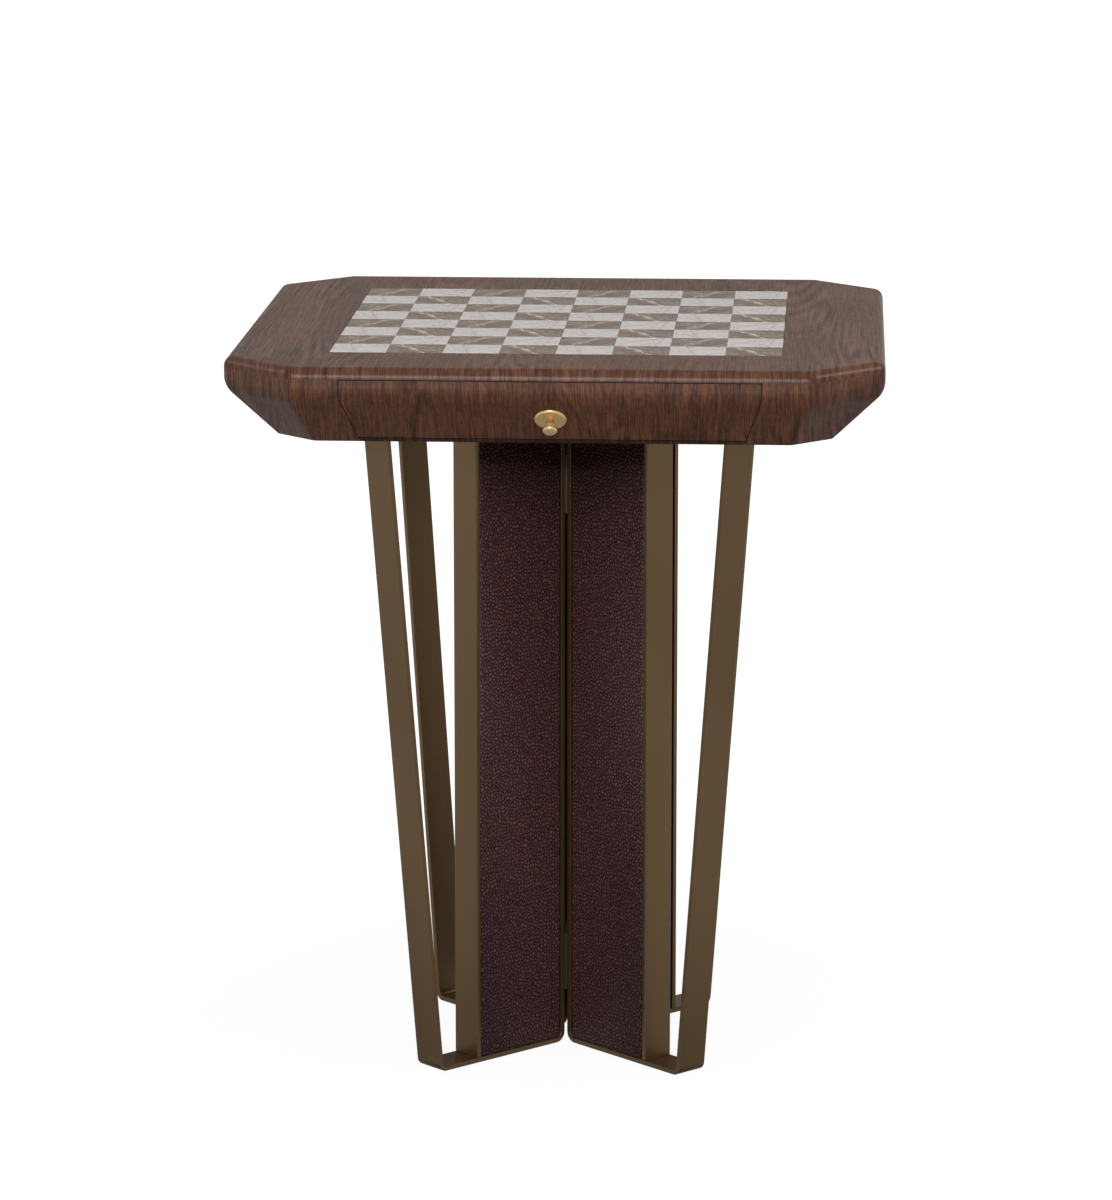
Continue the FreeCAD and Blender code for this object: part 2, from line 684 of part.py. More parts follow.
def make_knob():
    """A bevelled disc, a short round knob on a slim neck, and the stud, square to the slope."""
    run = sheet.get("slope_inset")
    drop = sheet.get("slope_drop")
    down = FreeCAD.Vector(0, run, -drop).normalize()
    outwards = FreeCAD.Vector(0, -drop, -run).normalize()
    start = spot("0", f"-{HALF}", BEND) + down * sheet.get("knob_drop")
    place = FreeCAD.Placement(start, FreeCAD.Rotation(UPWARDS, outwards))
    hole = "sizes.stud_diameter / 2 + sizes.screw_play"
    bore = round_bar("knob_bore", place, hole, "-sizes.stud_in_wood - sizes.screw_play",
                     "sizes.rose_thickness + sizes.stud_in_knob + sizes.screw_play")
    foot = "sizes.rose_thickness - sizes.rose_rim"
    edge = round_bar("rose_edge", place, "sizes.rose_diameter / 2", "0", foot)
    rim = document.addObject("Part::Cone", "rose_bevel")
    bind(rim, Radius1="sizes.rose_diameter / 2", Height="sizes.rose_rim",
         Radius2="sizes.rose_diameter / 2 - sizes.rose_rim")
    set_along(rim, place, foot)
    keep("knob_rose", cut("rose_bored", fused("rose_disc", [edge, rim]), bore))
    neck = round_bar("knob_neck", place, "sizes.neck_diameter / 2", "sizes.rose_thickness",
                     "sizes.cap_back")
    head = round_bar("knob_head", place, "sizes.cap_diameter / 2",
                     "sizes.cap_back + sizes.cap_bevel", "sizes.knob_reach - sizes.cap_bevel")
    rear = document.addObject("Part::Cone", "knob_rear_bevel")
    bind(rear, Radius1="sizes.cap_diameter / 2 - sizes.cap_bevel",
         Radius2="sizes.cap_diameter / 2", Height="sizes.cap_bevel")
    set_along(rear, place, "sizes.cap_back")
    front = document.addObject("Part::Cone", "knob_front_bevel")
    bind(front, Radius1="sizes.cap_diameter / 2",
         Radius2="sizes.cap_diameter / 2 - sizes.cap_bevel", Height="sizes.cap_bevel")
    set_along(front, place, "sizes.knob_reach - sizes.cap_bevel")
    solid = fused("knob_turned", [neck, rear, head, front])
    keep("knob_button", cut("knob_bored", solid, bore))
    stud = round_bar("stud", place, "sizes.stud_diameter / 2", "-sizes.stud_in_wood",
                     "sizes.rose_thickness + sizes.stud_in_knob")
    keep("knob_stud", stud)
    return bore


def set_along(item, place, distance):
    """Put an object at a distance along a placement's own upright axis."""
    shift = FreeCAD.Vector(0, 0, number(distance))
    item.Placement = FreeCAD.Placement(place.multVec(shift), place.Rotation)


def round_bar(name, place, radius, low, high):
    bar = document.addObject("Part::Cylinder", name)
    bind(bar, Radius=radius, Height=f"({high}) - ({low})")
    set_along(bar, place, low)
    return bar


# ---------------------------------------------------------------- base


def make_frame(place, eighths):
    """A loop of flat bar: inner bar, foot bar, leaning leg and top bar, bent at the floor."""
    lean = f"(({SHOULDER} - sizes.foot_reach) / {UNDER})"
    skew = f"(sizes.bar_thickness * sqrt(1 + {lean} ^ 2))"
    high = f"({UNDER} - sizes.bar_thickness)"
    inner = "(sizes.well_reach + sizes.bar_thickness)"
    outside = [("sizes.well_reach", "0"), ("sizes.foot_reach", "0"),
               (SHOULDER, UNDER), ("sizes.well_reach", UNDER)]
    inside = [
        (inner, "sizes.bar_thickness"),
        (f"sizes.foot_reach + {lean} * sizes.bar_thickness - {skew}", "sizes.bar_thickness"),
        (f"sizes.foot_reach + {lean} * {high} - {skew}", high),
        (inner, high),
    ]
    body = new_body(f"frame_{place}_body")
    loop = sketch(body, "XZ_Plane", f"frame_{place}_loop")
    outline(loop, outside)
    outline(loop, inside)
    pad(body, loop, "sizes.bar_width", symmetric=True)
    for corner, radius in (
        (outside[0], "sizes.heel_round"),
        (inside[0], "sizes.heel_round - sizes.bar_thickness"),
        (outside[1], "sizes.toe_round"),
        (inside[1], "sizes.toe_round - sizes.bar_thickness"),
    ):
        round_along(body, [spot(corner[0], "0", corner[1])], NORTHWARDS, radius)
    turn(body, eighths)
    return body


def wing_board(name, eighths, near, far, low, high, thickness):
    """A flat piece standing in the plane of one frame."""
    body = new_body(name + "_body")
    face = sketch(body, "XZ_Plane", name + "_face")
    outline(face, [(near, low), (far, low), (far, high), (near, high)])
    pad(body, face, thickness, symmetric=True)
    turn(body, eighths)
    return body


def clear_heel(body, near, low):
    """Round the panel's corner that stands in the bend of the frame."""
    round_along(body, [spot(near, "0", low)], NORTHWARDS, "sizes.heel_round - sizes.bar_thickness")


def make_wing(place, eighths):
    """Frame, upright, leather cover and core of one of the four wings."""
    frame = make_frame(place, eighths)
    upright = wing_board(f"upright_{place}", eighths, "sizes.upright_reach - sizes.bar_thickness",
                         "sizes.upright_reach", "sizes.bar_thickness",
                         f"{UNDER} - sizes.bar_thickness", "sizes.bar_width")
    keep(f"upright_{place}", upright)
    cover = wing_board(f"leather_{place}", eighths, PANEL_INNER, PANEL_OUTER, PANEL_LOW,
                       PANEL_HIGH, "sizes.panel_thickness")
    clear_heel(cover, PANEL_INNER, PANEL_LOW)
    near = f"({PANEL_INNER} + sizes.leather_thickness)"
    far = f"({PANEL_OUTER} - sizes.leather_thickness)"
    hollow = sketch(cover, "XZ_Plane", f"leather_{place}_hollow")
    low = f"{PANEL_LOW} - {SPARE}"
    high = f"{PANEL_HIGH} + {SPARE}"
    outline(hollow, [(near, low), (far, low), (far, high), (near, high)])
    core_thickness = "sizes.panel_thickness - 2 * sizes.leather_thickness"
    pocket(cover, hollow, core_thickness, symmetric=True)
    keep(f"leather_{place}", cover)
    core = wing_board(f"panel_core_{place}", eighths, near, far, PANEL_LOW, PANEL_HIGH,
                      core_thickness)
    clear_heel(core, near, PANEL_LOW)
    return frame, core


def make_joining_block(name, low):
    """A block in the square well, its corners cut so that the slots stay clear."""
    body = new_body(f"joining_block_{name}_body")
    drawing = sketch(body, "XY_Plane", f"block_{name}_outline", low)
    outline(drawing, octagon("sizes.well_reach", "(sizes.well_reach - sizes.block_chamfer)"))
    pad(body, drawing, "sizes.block_height")
    turn(body, 1)
    return body


# ---------------------------------------------------------------- places of the screws


def outward(eighths):
    """Level direction of one wing."""
    return FreeCAD.Rotation(UPWARDS, eighths * EIGHTH_TURN).multVec(EASTWARDS)


def bed_screw_spots():
    edge = f"({HALF_BOARD} + sizes.bed_border / 2)"
    half = "sizes.bed_screw_pitch / 2"
    spots = []
    for along in (f"-{half}", half):
        for across in (f"-{edge}", edge):
            spots.append((spot(along, across, BED_UNDER), UPWARDS))
            spots.append((spot(across, along, BED_UNDER), UPWARDS))
    return spots


def floor_screw_spots():
    middle = f"({CARRIER_FACE} + sizes.carrier_width / 2)"
    return [(spot(f"{side} * {middle}", f"{row} * sizes.floor_screw_pitch", UNDER), UPWARDS)
            for _, side in SIDES for row in (-1, 0, 1)]


def base_screw_spots():
    spots = []
    for _, eighths in WINGS:
        for reach in ("sizes.upright_reach + sizes.base_screw_inset",
                      f"{SHOULDER} - sizes.base_screw_inset"):
            height = UPWARDS * number(f"{UNDER} - sizes.bar_thickness")
            spots.append((outward(eighths) * number(reach) + height, UPWARDS))
    return spots


def block_screw_spots():
    spots = []
    for _, eighths in WINGS:
        way = outward(eighths)
        for _, low in BLOCKS:
            height = UPWARDS * number(f"{low} + sizes.block_height / 2")
            reach = number("sizes.well_reach + sizes.bar_thickness")
            spots.append((way * reach + height, way * -1))
    return spots


def panel_screw_spots():
    spots = []
    for _, eighths in WINGS:
        for reach in (f"{PANEL_INNER} + sizes.panel_screw_inset",
                      f"{PANEL_OUTER} - sizes.panel_screw_inset"):
            spots.append((outward(eighths) * number(reach), UPWARDS))
    return spots


def front_screw_spots():
    inside = f"-{FRONT_BACK} + sizes.drawer_wall"
    height = f"{RUNNER_MID} + sizes.front_screw_lift"
    middle = (FRONT_SCREWS - 1) / 2
    return [(spot(f"({column} - {middle}) * sizes.front_screw_pitch", inside, height),
             NORTHWARDS * -1)
            for column in range(FRONT_SCREWS)]


def runner_screw_spots(face, way):
    front = f"(-{RUNNER_FRONT} + sizes.runner_screw_inset)"
    back = f"({RUNNER_BACK} - sizes.runner_screw_inset)"
    return [(spot(f"{side} * ({face})", along, RUNNER_MID), EASTWARDS * side * way)
            for _, side in SIDES for along in (front, back)]


# ---------------------------------------------------------------- assembly


def build():
    bed_holes = screws("bed_screws", bed_screw_spots(), "bed_screw")
    floor_holes = screws("floor_screws", floor_screw_spots(), "floor_screw")
    base_holes = screws("base_screws", base_screw_spots(), "base_screw")
    block_holes = screws("block_screws", block_screw_spots(), "block_screw")
    panel_holes = screws("panel_screws", panel_screw_spots(), "panel_screw")
    front_holes = screws("front_screws", front_screw_spots(), "front_screw")
    case_face = f"{CARRIER_FACE} - sizes.runner_gauge"
    case_holes = screws("runner_screws_case", runner_screw_spots(case_face, 1), "runner_screw")
    drawer_face = f"{HALF_DRAWER} + sizes.runner_gauge"
    drawer_holes = screws("runner_screws_drawer", runner_screw_spots(drawer_face, -1),
                          "runner_screw")

    blank = make_case_blank()
    keep("top_panel", cut("top_panel_drilled", make_top_panel(blank), bed_holes))
    keep("inlay_bed", cut("bed_drilled", make_inlay_bed(), bed_holes))
    make_tiles()
    make_case_members(blank)
    for name, side in SIDES:
        make_cheek(blank, name, side)
    make_front_lipping(blank)
    floor_tool = joined("floor_drill", [floor_holes, base_holes])
    keep("case_floor", cut("floor_drilled", make_case_floor(), floor_tool))
    carrier_tool = joined("carrier_drill", [floor_holes, case_holes])

    bore = make_knob()
    front_tool = joined("front_drill", [front_holes, bore])
    keep("drawer_front", cut("front_drilled", make_drawer_front(blank), front_tool))
    walls = make_drawer_box()
    keep("drawer_inner_front", cut("inner_front_drilled", walls["drawer_inner_front"],
                                   front_holes))
    for name, side in SIDES:
        keep(f"carrier_{name}", cut(f"carrier_{name}_drilled", make_carrier(name, side),
                                    carrier_tool))
        case_member, drawer_member = make_runner(name, side)
        keep(f"runner_case_{name}", cut(f"runner_case_{name}_drilled", case_member, case_holes))
        keep(f"runner_drawer_{name}", cut(f"runner_drawer_{name}_drilled", drawer_member,
                                          drawer_holes))
        keep(f"drawer_side_{name}", cut(f"drawer_side_{name}_drilled",
                                        walls["drawer_side_" + name], drawer_holes))

    frame_tool = joined("frame_drill", [base_holes, block_holes, panel_holes])
    for place, eighths in WINGS:
        frame, core = make_wing(place, eighths)
        keep(f"frame_{place}", cut(f"frame_{place}_drilled", frame, frame_tool))
        keep(f"panel_core_{place}", cut(f"core_{place}_drilled", core, panel_holes))
    for name, low in BLOCKS:
        block = make_joining_block(name, low)
        keep(f"joining_block_{name}", cut(f"block_{name}_drilled", block, block_holes))


def check():
    """Stop if any object failed or any sub-part is empty or not valid."""
    document.recompute()
    for item in document.Objects:
        if "Invalid" in item.State or "Error" in item.State:
            raise RuntimeError(f"{item.Label} failed: {item.State}")
    for label, item in nodes.items():
        if item.Shape.isNull() or not item.Shape.isValid() or not item.Shape.Solids:
            raise RuntimeError(label + " has no sound shape")


def write():
    os.makedirs("parts", exist_ok=True)
    for label, item in sorted(nodes.items()):
        item.Shape.exportStep(f"parts/{label}.step")
        print(f"{label}: {len(item.Shape.Solids)} solid(s), {item.Shape.Volume:.0f} mm3")
    print(len(nodes), "sub-parts")


build()
check()
write()
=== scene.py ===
"""Dress the chess table: a finish for every solid, and the soft and turned pieces made here."""
import math

import bmesh
import bpy
from bpy.props import FloatProperty, FloatVectorProperty, IntProperty, PointerProperty
from mathutils import Matrix, Vector


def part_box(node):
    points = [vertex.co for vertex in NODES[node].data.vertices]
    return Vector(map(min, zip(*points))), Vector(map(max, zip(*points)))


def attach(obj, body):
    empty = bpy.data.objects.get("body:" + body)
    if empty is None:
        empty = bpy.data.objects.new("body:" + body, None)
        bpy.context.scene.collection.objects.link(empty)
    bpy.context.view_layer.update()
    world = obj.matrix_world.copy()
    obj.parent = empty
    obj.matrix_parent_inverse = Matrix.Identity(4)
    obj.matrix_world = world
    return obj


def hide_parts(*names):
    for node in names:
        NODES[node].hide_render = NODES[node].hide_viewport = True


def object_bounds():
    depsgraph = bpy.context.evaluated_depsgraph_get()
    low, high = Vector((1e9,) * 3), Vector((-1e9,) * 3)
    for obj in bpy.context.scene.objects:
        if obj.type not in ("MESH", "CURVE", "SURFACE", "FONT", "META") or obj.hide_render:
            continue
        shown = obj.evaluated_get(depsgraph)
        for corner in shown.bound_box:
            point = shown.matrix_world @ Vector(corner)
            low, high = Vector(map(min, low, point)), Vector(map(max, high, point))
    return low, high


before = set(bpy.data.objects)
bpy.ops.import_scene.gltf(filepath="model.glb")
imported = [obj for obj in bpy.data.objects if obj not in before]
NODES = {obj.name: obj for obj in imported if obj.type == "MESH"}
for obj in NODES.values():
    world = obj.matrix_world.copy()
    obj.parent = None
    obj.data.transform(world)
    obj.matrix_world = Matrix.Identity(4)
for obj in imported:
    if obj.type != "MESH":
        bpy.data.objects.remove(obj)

bl_info = {
    "name": "Chess Table",
    "version": (1, 0, 0),
    "blender": (4, 5, 0),
    "location": "View3D > Sidebar > Chess Table",
    "description": "Finishes and pieces of a chess table with an inlaid stone board",
    "category": "Object",
}

CAD_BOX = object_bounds()
TOP = CAD_BOX[1][2]
HALF = CAD_BOX[1][0]
X, Y, Z = (1, 0, 0), (0, 1, 0), (0, 0, 1)
SAME = 1e-6  # metres: places nearer than this are one place

# Degrees that each wing of the base is turned from the X axis.
WING_TURNS = {"front_left": 225, "front_right": 315, "back_right": 45, "back_left": 135}
PANEL_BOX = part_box("leather_back_right")
LINING_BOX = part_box("drawer_lining")

# Where the rose sits on the sloping drawer front, and the way the knob points.
KNOB_SEAT = Vector((0, -0.29808, 0.69908))
KNOB_AXIS = Vector((0, -1, -1)).normalized()

# Depths under the top's face between which the sides' figure gives way to the top's.
FIGURE_FADE = (0.0022, 0.0002)
# The streaks on the top are drawn out: a metre of it counts as this share of a metre.
TOP_CALM = 0.35

# Veins of the two marbles: slope, crossing, seed, strength and share of fine veins. The first
# and third lie on one row of squares, and the second and fourth on the next.
LIGHT_RUNS = ((0.18, 0.7, 4.0, 0.55, 0.4), (-0.15, 0.45, 6.0, 0.5, 0.45),
              (1.2, -0.3, 8.0, 0.4, 0.3), (2.4, -1.0, 9.0, 0.4, 0.3))
DARK_RUNS = ((0.5, 0.2, 1.0, 0.95, 0.5), (-0.5, 0.65, 2.0, 0.95, 0.5),
             (2.0, -0.9, 5.0, 0.5, 0.4), (-1.1, 1.1, 7.0, 0.55, 0.4))

# Metres: half the width of the floor, and how far it lies below the feet.
FLOOR_REACH = 300
FLOOR_DROP = 0.0004
FLOOR_TONE = (0.54, 0.54, 0.54)
ROOM_TONE = (1, 0.96, 0.91)
WHITE = (1, 1, 1)

CAMERA_PLACE = (0.27887, -5.06919, 1.50689)
CAMERA_PITCH = math.radians(78.3614)
CAMERA_TURN = math.radians(3.2817)

LAMP_AIM = Vector((0, 0, 0.6))
# Name, setting and share of its power, place, width, height, shows in gloss, lights matt faces.
LAMPS = (
    ("front_lamp", "key", 1, (0.4, -4.6, 2.4), 2.4, 1.2, False, True),
    ("over_lamp", "over", 1, (0.3, -0.9, 3.6), 2.0, 1.6, False, True),
    ("left_lamp", "side", 0.4, (-3.0, 0.4, 2.2), 1.2, 0.8, True, False),
    ("right_lamp", "side", 0.9, (3.0, 0.1, 2.4), 0.9, 0.4, True, False),
    ("band_lamp", "side", 7, (-0.35, -5.2, 2.1), 2.2, 0.25, True, False),
    ("low_lamp", "side", 0.4, (0.0, -6.4, 0.9), 2.4, 0.6, True, True),
)


def tone(red, green, blue):
    """A colour read from a paint card, 0 to 255, in linear values."""
    def straight(value):
        value /= 255
        return value / 12.92 if value <= 0.04045 else ((value + 0.055) / 1.055) ** 2.4
    return straight(red), straight(green), straight(blue)


def colour(name, description, *card):
    """A colour that a user may change."""
    return FloatVectorProperty(name=name, description=description, default=tone(*card),
                               subtype="COLOR", size=3, min=0, max=1)


def length(name, description, metres):
    """A length that a user may change."""
    return FloatProperty(name=name, description=description, default=metres, min=0,
                         unit="LENGTH", precision=4)


def share(name, description, value):
    """An amount from none to all."""
    return FloatProperty(name=name, description=description, default=value, min=0, max=1,
                         subtype="FACTOR")


# ---------------------------------------------------------------- settings


class CHESS_PG_wood(bpy.types.PropertyGroup):
    """Veneer of the case, and the plainer woods inside."""
    dark: colour("Dark grain", "Late wood and pores of the walnut", 38, 22, 15)
    ground: colour("Ground", "Body colour of the walnut", 80, 49, 34)
    light: colour("Light grain", "Early wood of the walnut", 116, 72, 48)
    figure: share("Side figure", "How strongly the grain shows on the sides", 0.46)
    flat: share("Top figure", "How strongly the grain shows on the top", 0.62)
    gloss: share("Lacquer roughness", "Roughness of the satin lacquer", 0.38)
    arris: length("Arris", "Width of the softened edges of the drawer front", 0.0005)
    drawer: colour("Drawer wood", "Body colour of the drawer box", 170, 134, 98)
    board: colour("Inner board", "Body colour of the hidden boards", 104, 76, 56)


class CHESS_PG_stone(bpy.types.PropertyGroup):
    """The two marbles of the playing squares."""
    square: length("Square", "Side of one square", 0.055)
    light: colour("Light ground", "Body colour of the light squares", 211, 207, 210)
    light_cloud: colour("Light cloud", "Clouds of the light squares", 182, 175, 174)
    light_vein: colour("Light vein", "Veins of the light squares", 138, 122, 114)
    dark: colour("Dark ground", "Body colour of the dark squares", 113, 98, 87)
    dark_cloud: colour("Dark cloud", "Darker clouds of the dark squares", 94, 79, 69)
    dark_vein: colour("Dark vein", "Veins of the dark squares", 214, 202, 189)
    gloss: share("Polish roughness", "Roughness of the polished stone", 0.3)


class CHESS_PG_metal(bpy.types.PropertyGroup):
    """Bronze frames, and the metal parts inside."""
    bronze: colour("Bronze", "Body colour of the flat bars", 114, 92, 64)
    bronze_shade: colour("Bronze shade", "Darker cast of the flat bars", 100, 79, 53)
    # The joining blocks are near black so that the slot between the inner bars reads dark: painted
    # shade.
    block: colour("Joining block", "Colour of the two joining blocks", 34, 29, 24)
    steel: colour("Zinc plate", "Colour of runners and screws", 158, 158, 154)
    gloss: share("Bronze roughness", "Roughness of the satin bronze", 0.36)
    arris: length("Arris", "Width of the softened bar edges", 0.0008)


class CHESS_PG_leather(bpy.types.PropertyGroup):
    """The four leather covers."""
    ground: colour("Leather", "Body colour of the leather", 118, 72, 73)
    # The crease colour is partly the leather's own darker tone and partly painted shade in the
    # creases.
    crease: colour("Crease Shade", "Colour in the creases of the grain", 14, 6, 7)
    pebble: length("Pebble", "Size of one pebble of the grain", 0.0038)
    corner: length("Corner", "Radius over the edges of the board", 0.003)
    heel: length("Heel", "Radius in the bend of the frame", 0.006)
    hide: length("Hide", "Thickness of the leather", 0.0013)
    board: length("Panel", "Thickness over the leather", 0.034)


class CHESS_PG_knob(bpy.types.PropertyGroup):
    """The brass knob and its rose."""
    brass: colour("Brass", "Colour of the brass", 240, 206, 148)
    gloss: share("Brass roughness", "Roughness of the brass", 0.15)
    rose: length("Rose", "Radius of the rose", 0.0155)
    rose_thickness: length("Rose thickness", "Thickness of the rose", 0.0022)
    rim: length("Rim", "Bevel round the rose's face", 0.0014)
    neck: length("Neck", "Radius of the neck", 0.00375)
    head: length("Head", "Radius of the head", 0.0071)
    edge: length("Edge", "Rounding of the head's rear edge", 0.003)
    shoulder: length("Shoulder", "Rounding between the head's wall and its flat end", 0.0028)
    back: length("Back", "Seat to the back of the head", 0.0079)
    reach: length("Reach", "Seat to the flat end", 0.0157)
    steps: IntProperty(name="Steps", description="Faces round the knob", default=72, min=12)


class CHESS_PG_felt(bpy.types.PropertyGroup):
    """The lining of the drawer."""
    pile: colour("Felt", "Colour of the felt", 66, 36, 38)
    edge: length("Edge", "Rounding of the cut edge", 0.0006)


class CHESS_PG_stage(bpy.types.PropertyGroup):
    """Floor, lamps and camera."""
    room: share("Room light", "Strength of the even light", 0.42)
    key: FloatProperty(name="Key", description="Power of the front lamp", default=121,
                       unit="POWER", min=0)
    over: FloatProperty(name="Over", description="Power of the lamp overhead", default=45,
                        unit="POWER", min=0)
    side: FloatProperty(name="Side", description="Power of the side lamps", default=24,
                        unit="POWER", min=0)
    near: share("Mirrored steeply", "How bright the floor shows in gloss from above", 0.28)
    far: share("Mirrored flatly", "How bright the floor shows in gloss at a low angle", 0.95)
    focal: FloatProperty(name="Focal length", description="Lens in millimetres",
                         default=151.871, min=1)


class CHESS_PG_table(bpy.types.PropertyGroup):
    """All settings of the chess table."""
    wood: PointerProperty(type=CHESS_PG_wood, name="Wood")
    stone: PointerProperty(type=CHESS_PG_stone, name="Stone")
    metal: PointerProperty(type=CHESS_PG_metal, name="Metal")
    leather: PointerProperty(type=CHESS_PG_leather, name="Leather")
    knob: PointerProperty(type=CHESS_PG_knob, name="Knob")
    felt: PointerProperty(type=CHESS_PG_felt, name="Felt")
    stage: PointerProperty(type=CHESS_PG_stage, name="Stage")


# ---------------------------------------------------------------- shader nodes


def add(tree, kind, given=None, **settings):
    """One node: its settings, then a value or a link for each input named."""
    item = tree.nodes.new(kind)
    for name, value in settings.items():
        setattr(item, name, value)
    for name, value in (given or {}).items():
        feed(tree, value, item.inputs[name])
    return item


def feed(tree, value, socket):
    """Link a socket to another, or give it a value."""
    if isinstance(value, bpy.types.NodeSocket):
        tree.links.new(value, socket)
    elif socket.type == "RGBA" and len(value) == 3:
        socket.default_value = (*value, 1)
    else:
        socket.default_value = value


def sums(tree, operation, *terms):
    """The result of one sum."""
    return add(tree, "ShaderNodeMath", dict(enumerate(terms)), operation=operation).outputs[0]


def vectors(tree, operation, *terms):
    """The result of one sum of vectors."""
    item = add(tree, "ShaderNodeVectorMath", dict(enumerate(terms)), operation=operation)
    return item.outputs["Value" if operation in ("DOT_PRODUCT", "LENGTH") else "Vector"]


def vector(tree, x, y, z):
    """A vector from its three parts."""
    return add(tree, "ShaderNodeCombineXYZ", {0: x, 1: y, 2: z}).outputs[0]


def parts(tree, place):
    """The three parts of a vector."""
    return add(tree, "ShaderNodeSeparateXYZ", {0: place}).outputs


def noise(tree, place, stretch, detail=2.0, roughness=0.5, distortion=0.0):
    """Soft noise, with the number of its waves to one unit on each axis."""
    return add(tree, "ShaderNodeTexNoise",
               {"Vector": vectors(tree, "MULTIPLY", place, stretch), "Scale": 1.0,
                "Detail": detail, "Roughness": roughness, "Distortion": distortion}).outputs[0]


def ramp(tree, value, low, high, to_low=0.0, to_high=1.0, smooth=False):
    """A value spread from one range to another, and held at its ends."""
    return add(tree, "ShaderNodeMapRange", {0: value, 1: low, 2: high, 3: to_low, 4: to_high},
               interpolation_type="SMOOTHSTEP" if smooth else "LINEAR").outputs[0]


def centred(tree, value):
    """A noise value measured from its middle."""
    return sums(tree, "SUBTRACT", value, 0.5)


def blend(tree, factor, first, second):
    """Two colours mixed."""
    return add(tree, "ShaderNodeMix", {0: factor, 6: first, 7: second},
               data_type="RGBA").outputs[2]


def new_group(name, inputs, outputs):
    """An empty node group, with its inputs' and outputs' sockets."""
    tree = bpy.data.node_groups.new(name, "ShaderNodeTree")
    kinds = {"value": "NodeSocketFloat", "place": "NodeSocketVector", "colour": "NodeSocketColor"}
    for label, kind in inputs:
        tree.interface.new_socket(label, in_out="INPUT", socket_type=kinds[kind])
    for label, kind in outputs:
        tree.interface.new_socket(label, in_out="OUTPUT", socket_type=kinds[kind])
    return (tree, tree.nodes.new("NodeGroupInput").outputs,
            tree.nodes.new("NodeGroupOutput").inputs)


def named_group(make):
    """A node group that is made once and used by every finish that needs it."""
    return bpy.data.node_groups.get(make.__name__) or make()


def veneer_figure():
    """Long grain: broad bands, crown figure, streaks of all widths, flecks and pores."""
    tree, given, out = new_group(
        "veneer_figure",
        [("Vector", "place"), ("Across", "place"), ("Along", "place"), ("Start", "place"),
         ("Dark", "colour"), ("Ground", "colour"), ("Light", "colour"), ("Figure", "value"),
         ("Roughness", "value")],
        [("Color", "colour"), ("Roughness", "value"), ("Coat", "value"), ("Height", "value")])
    start = parts(tree, given["Start"])
    across = sums(tree, "ADD", vectors(tree, "DOT_PRODUCT", given["Vector"], given["Across"]),
                  start[0])
    along = sums(tree, "ADD", vectors(tree, "DOT_PRODUCT", given["Vector"], given["Along"]),
                 start[1])
    flat = vector(tree, across, along, start[2])
    wander = centred(tree, noise(tree, flat, (6, 3.2, 1), 3, 0.55))
    line = vector(tree, sums(tree, "MULTIPLY_ADD", wander, 0.045, across), along, start[2])

    tint, layers = 0.0, {}
    for name, place, stretch, detail, roughness, weight in (
            ("broad", line, (19, 3.5, 1), 4, 0.6, 0.36),
            ("grain", line, (120, 7, 1), 4, 0.7, 0.24),
            ("fine", line, (700, 22, 1), 3, 0.75, 1.8),
            ("mottle", flat, (230, 160, 1), 3, 0.7, 0.6),
            ("ripple", flat, (40, 150, 1), 3, 0.5, 0.16)):
        layers[name] = noise(tree, place, stretch, detail, roughness)
        tint = sums(tree, "MULTIPLY_ADD", centred(tree, layers[name]), weight, tint)
    crown = noise(tree, line, (11, 3.4, 1), 1.6, 0.45)
    rings = sums(tree, "SINE", sums(tree, "MULTIPLY", crown, 150.0))
    rings = sums(tree, "MULTIPLY", rings,
                 ramp(tree, noise(tree, flat, (9, 6, 1), 1), 0.46, 0.6))
    tint = sums(tree, "MULTIPLY_ADD", rings, 0.14, tint)
    tint = sums(tree, "MULTIPLY_ADD", tint, given["Figure"], 0.5)

    pores = ramp(tree, noise(tree, line, (560, 34, 1), 2, 0.6), 0.57, 0.66)
    flecks = ramp(tree, noise(tree, flat, (20, 90, 1), 3, 0.55), 0.64, 0.73)
    body = blend(tree, ramp(tree, tint, 0.26, 0.52), given["Dark"], given["Ground"])
    body = blend(tree, ramp(tree, tint, 0.48, 0.76), body, given["Light"])
    marks = sums(tree, "MAXIMUM", sums(tree, "MULTIPLY", pores, 0.7),
                 sums(tree, "MULTIPLY", flecks, 0.8))
    body = blend(tree, sums(tree, "MULTIPLY", marks, given["Figure"]), body, given["Dark"])
    feed(tree, body, out["Color"])
    feed(tree, sums(tree, "MULTIPLY_ADD", centred(tree, layers["grain"]), 0.12,
                    given["Roughness"]), out["Roughness"])
    feed(tree, ramp(tree, tint, 0.34, 0.68, 0.0, 0.3), out["Coat"])
    feed(tree, sums(tree, "SUBTRACT", sums(tree, "MULTIPLY", layers["fine"], 0.5), pores),
         out["Height"])
    return tree


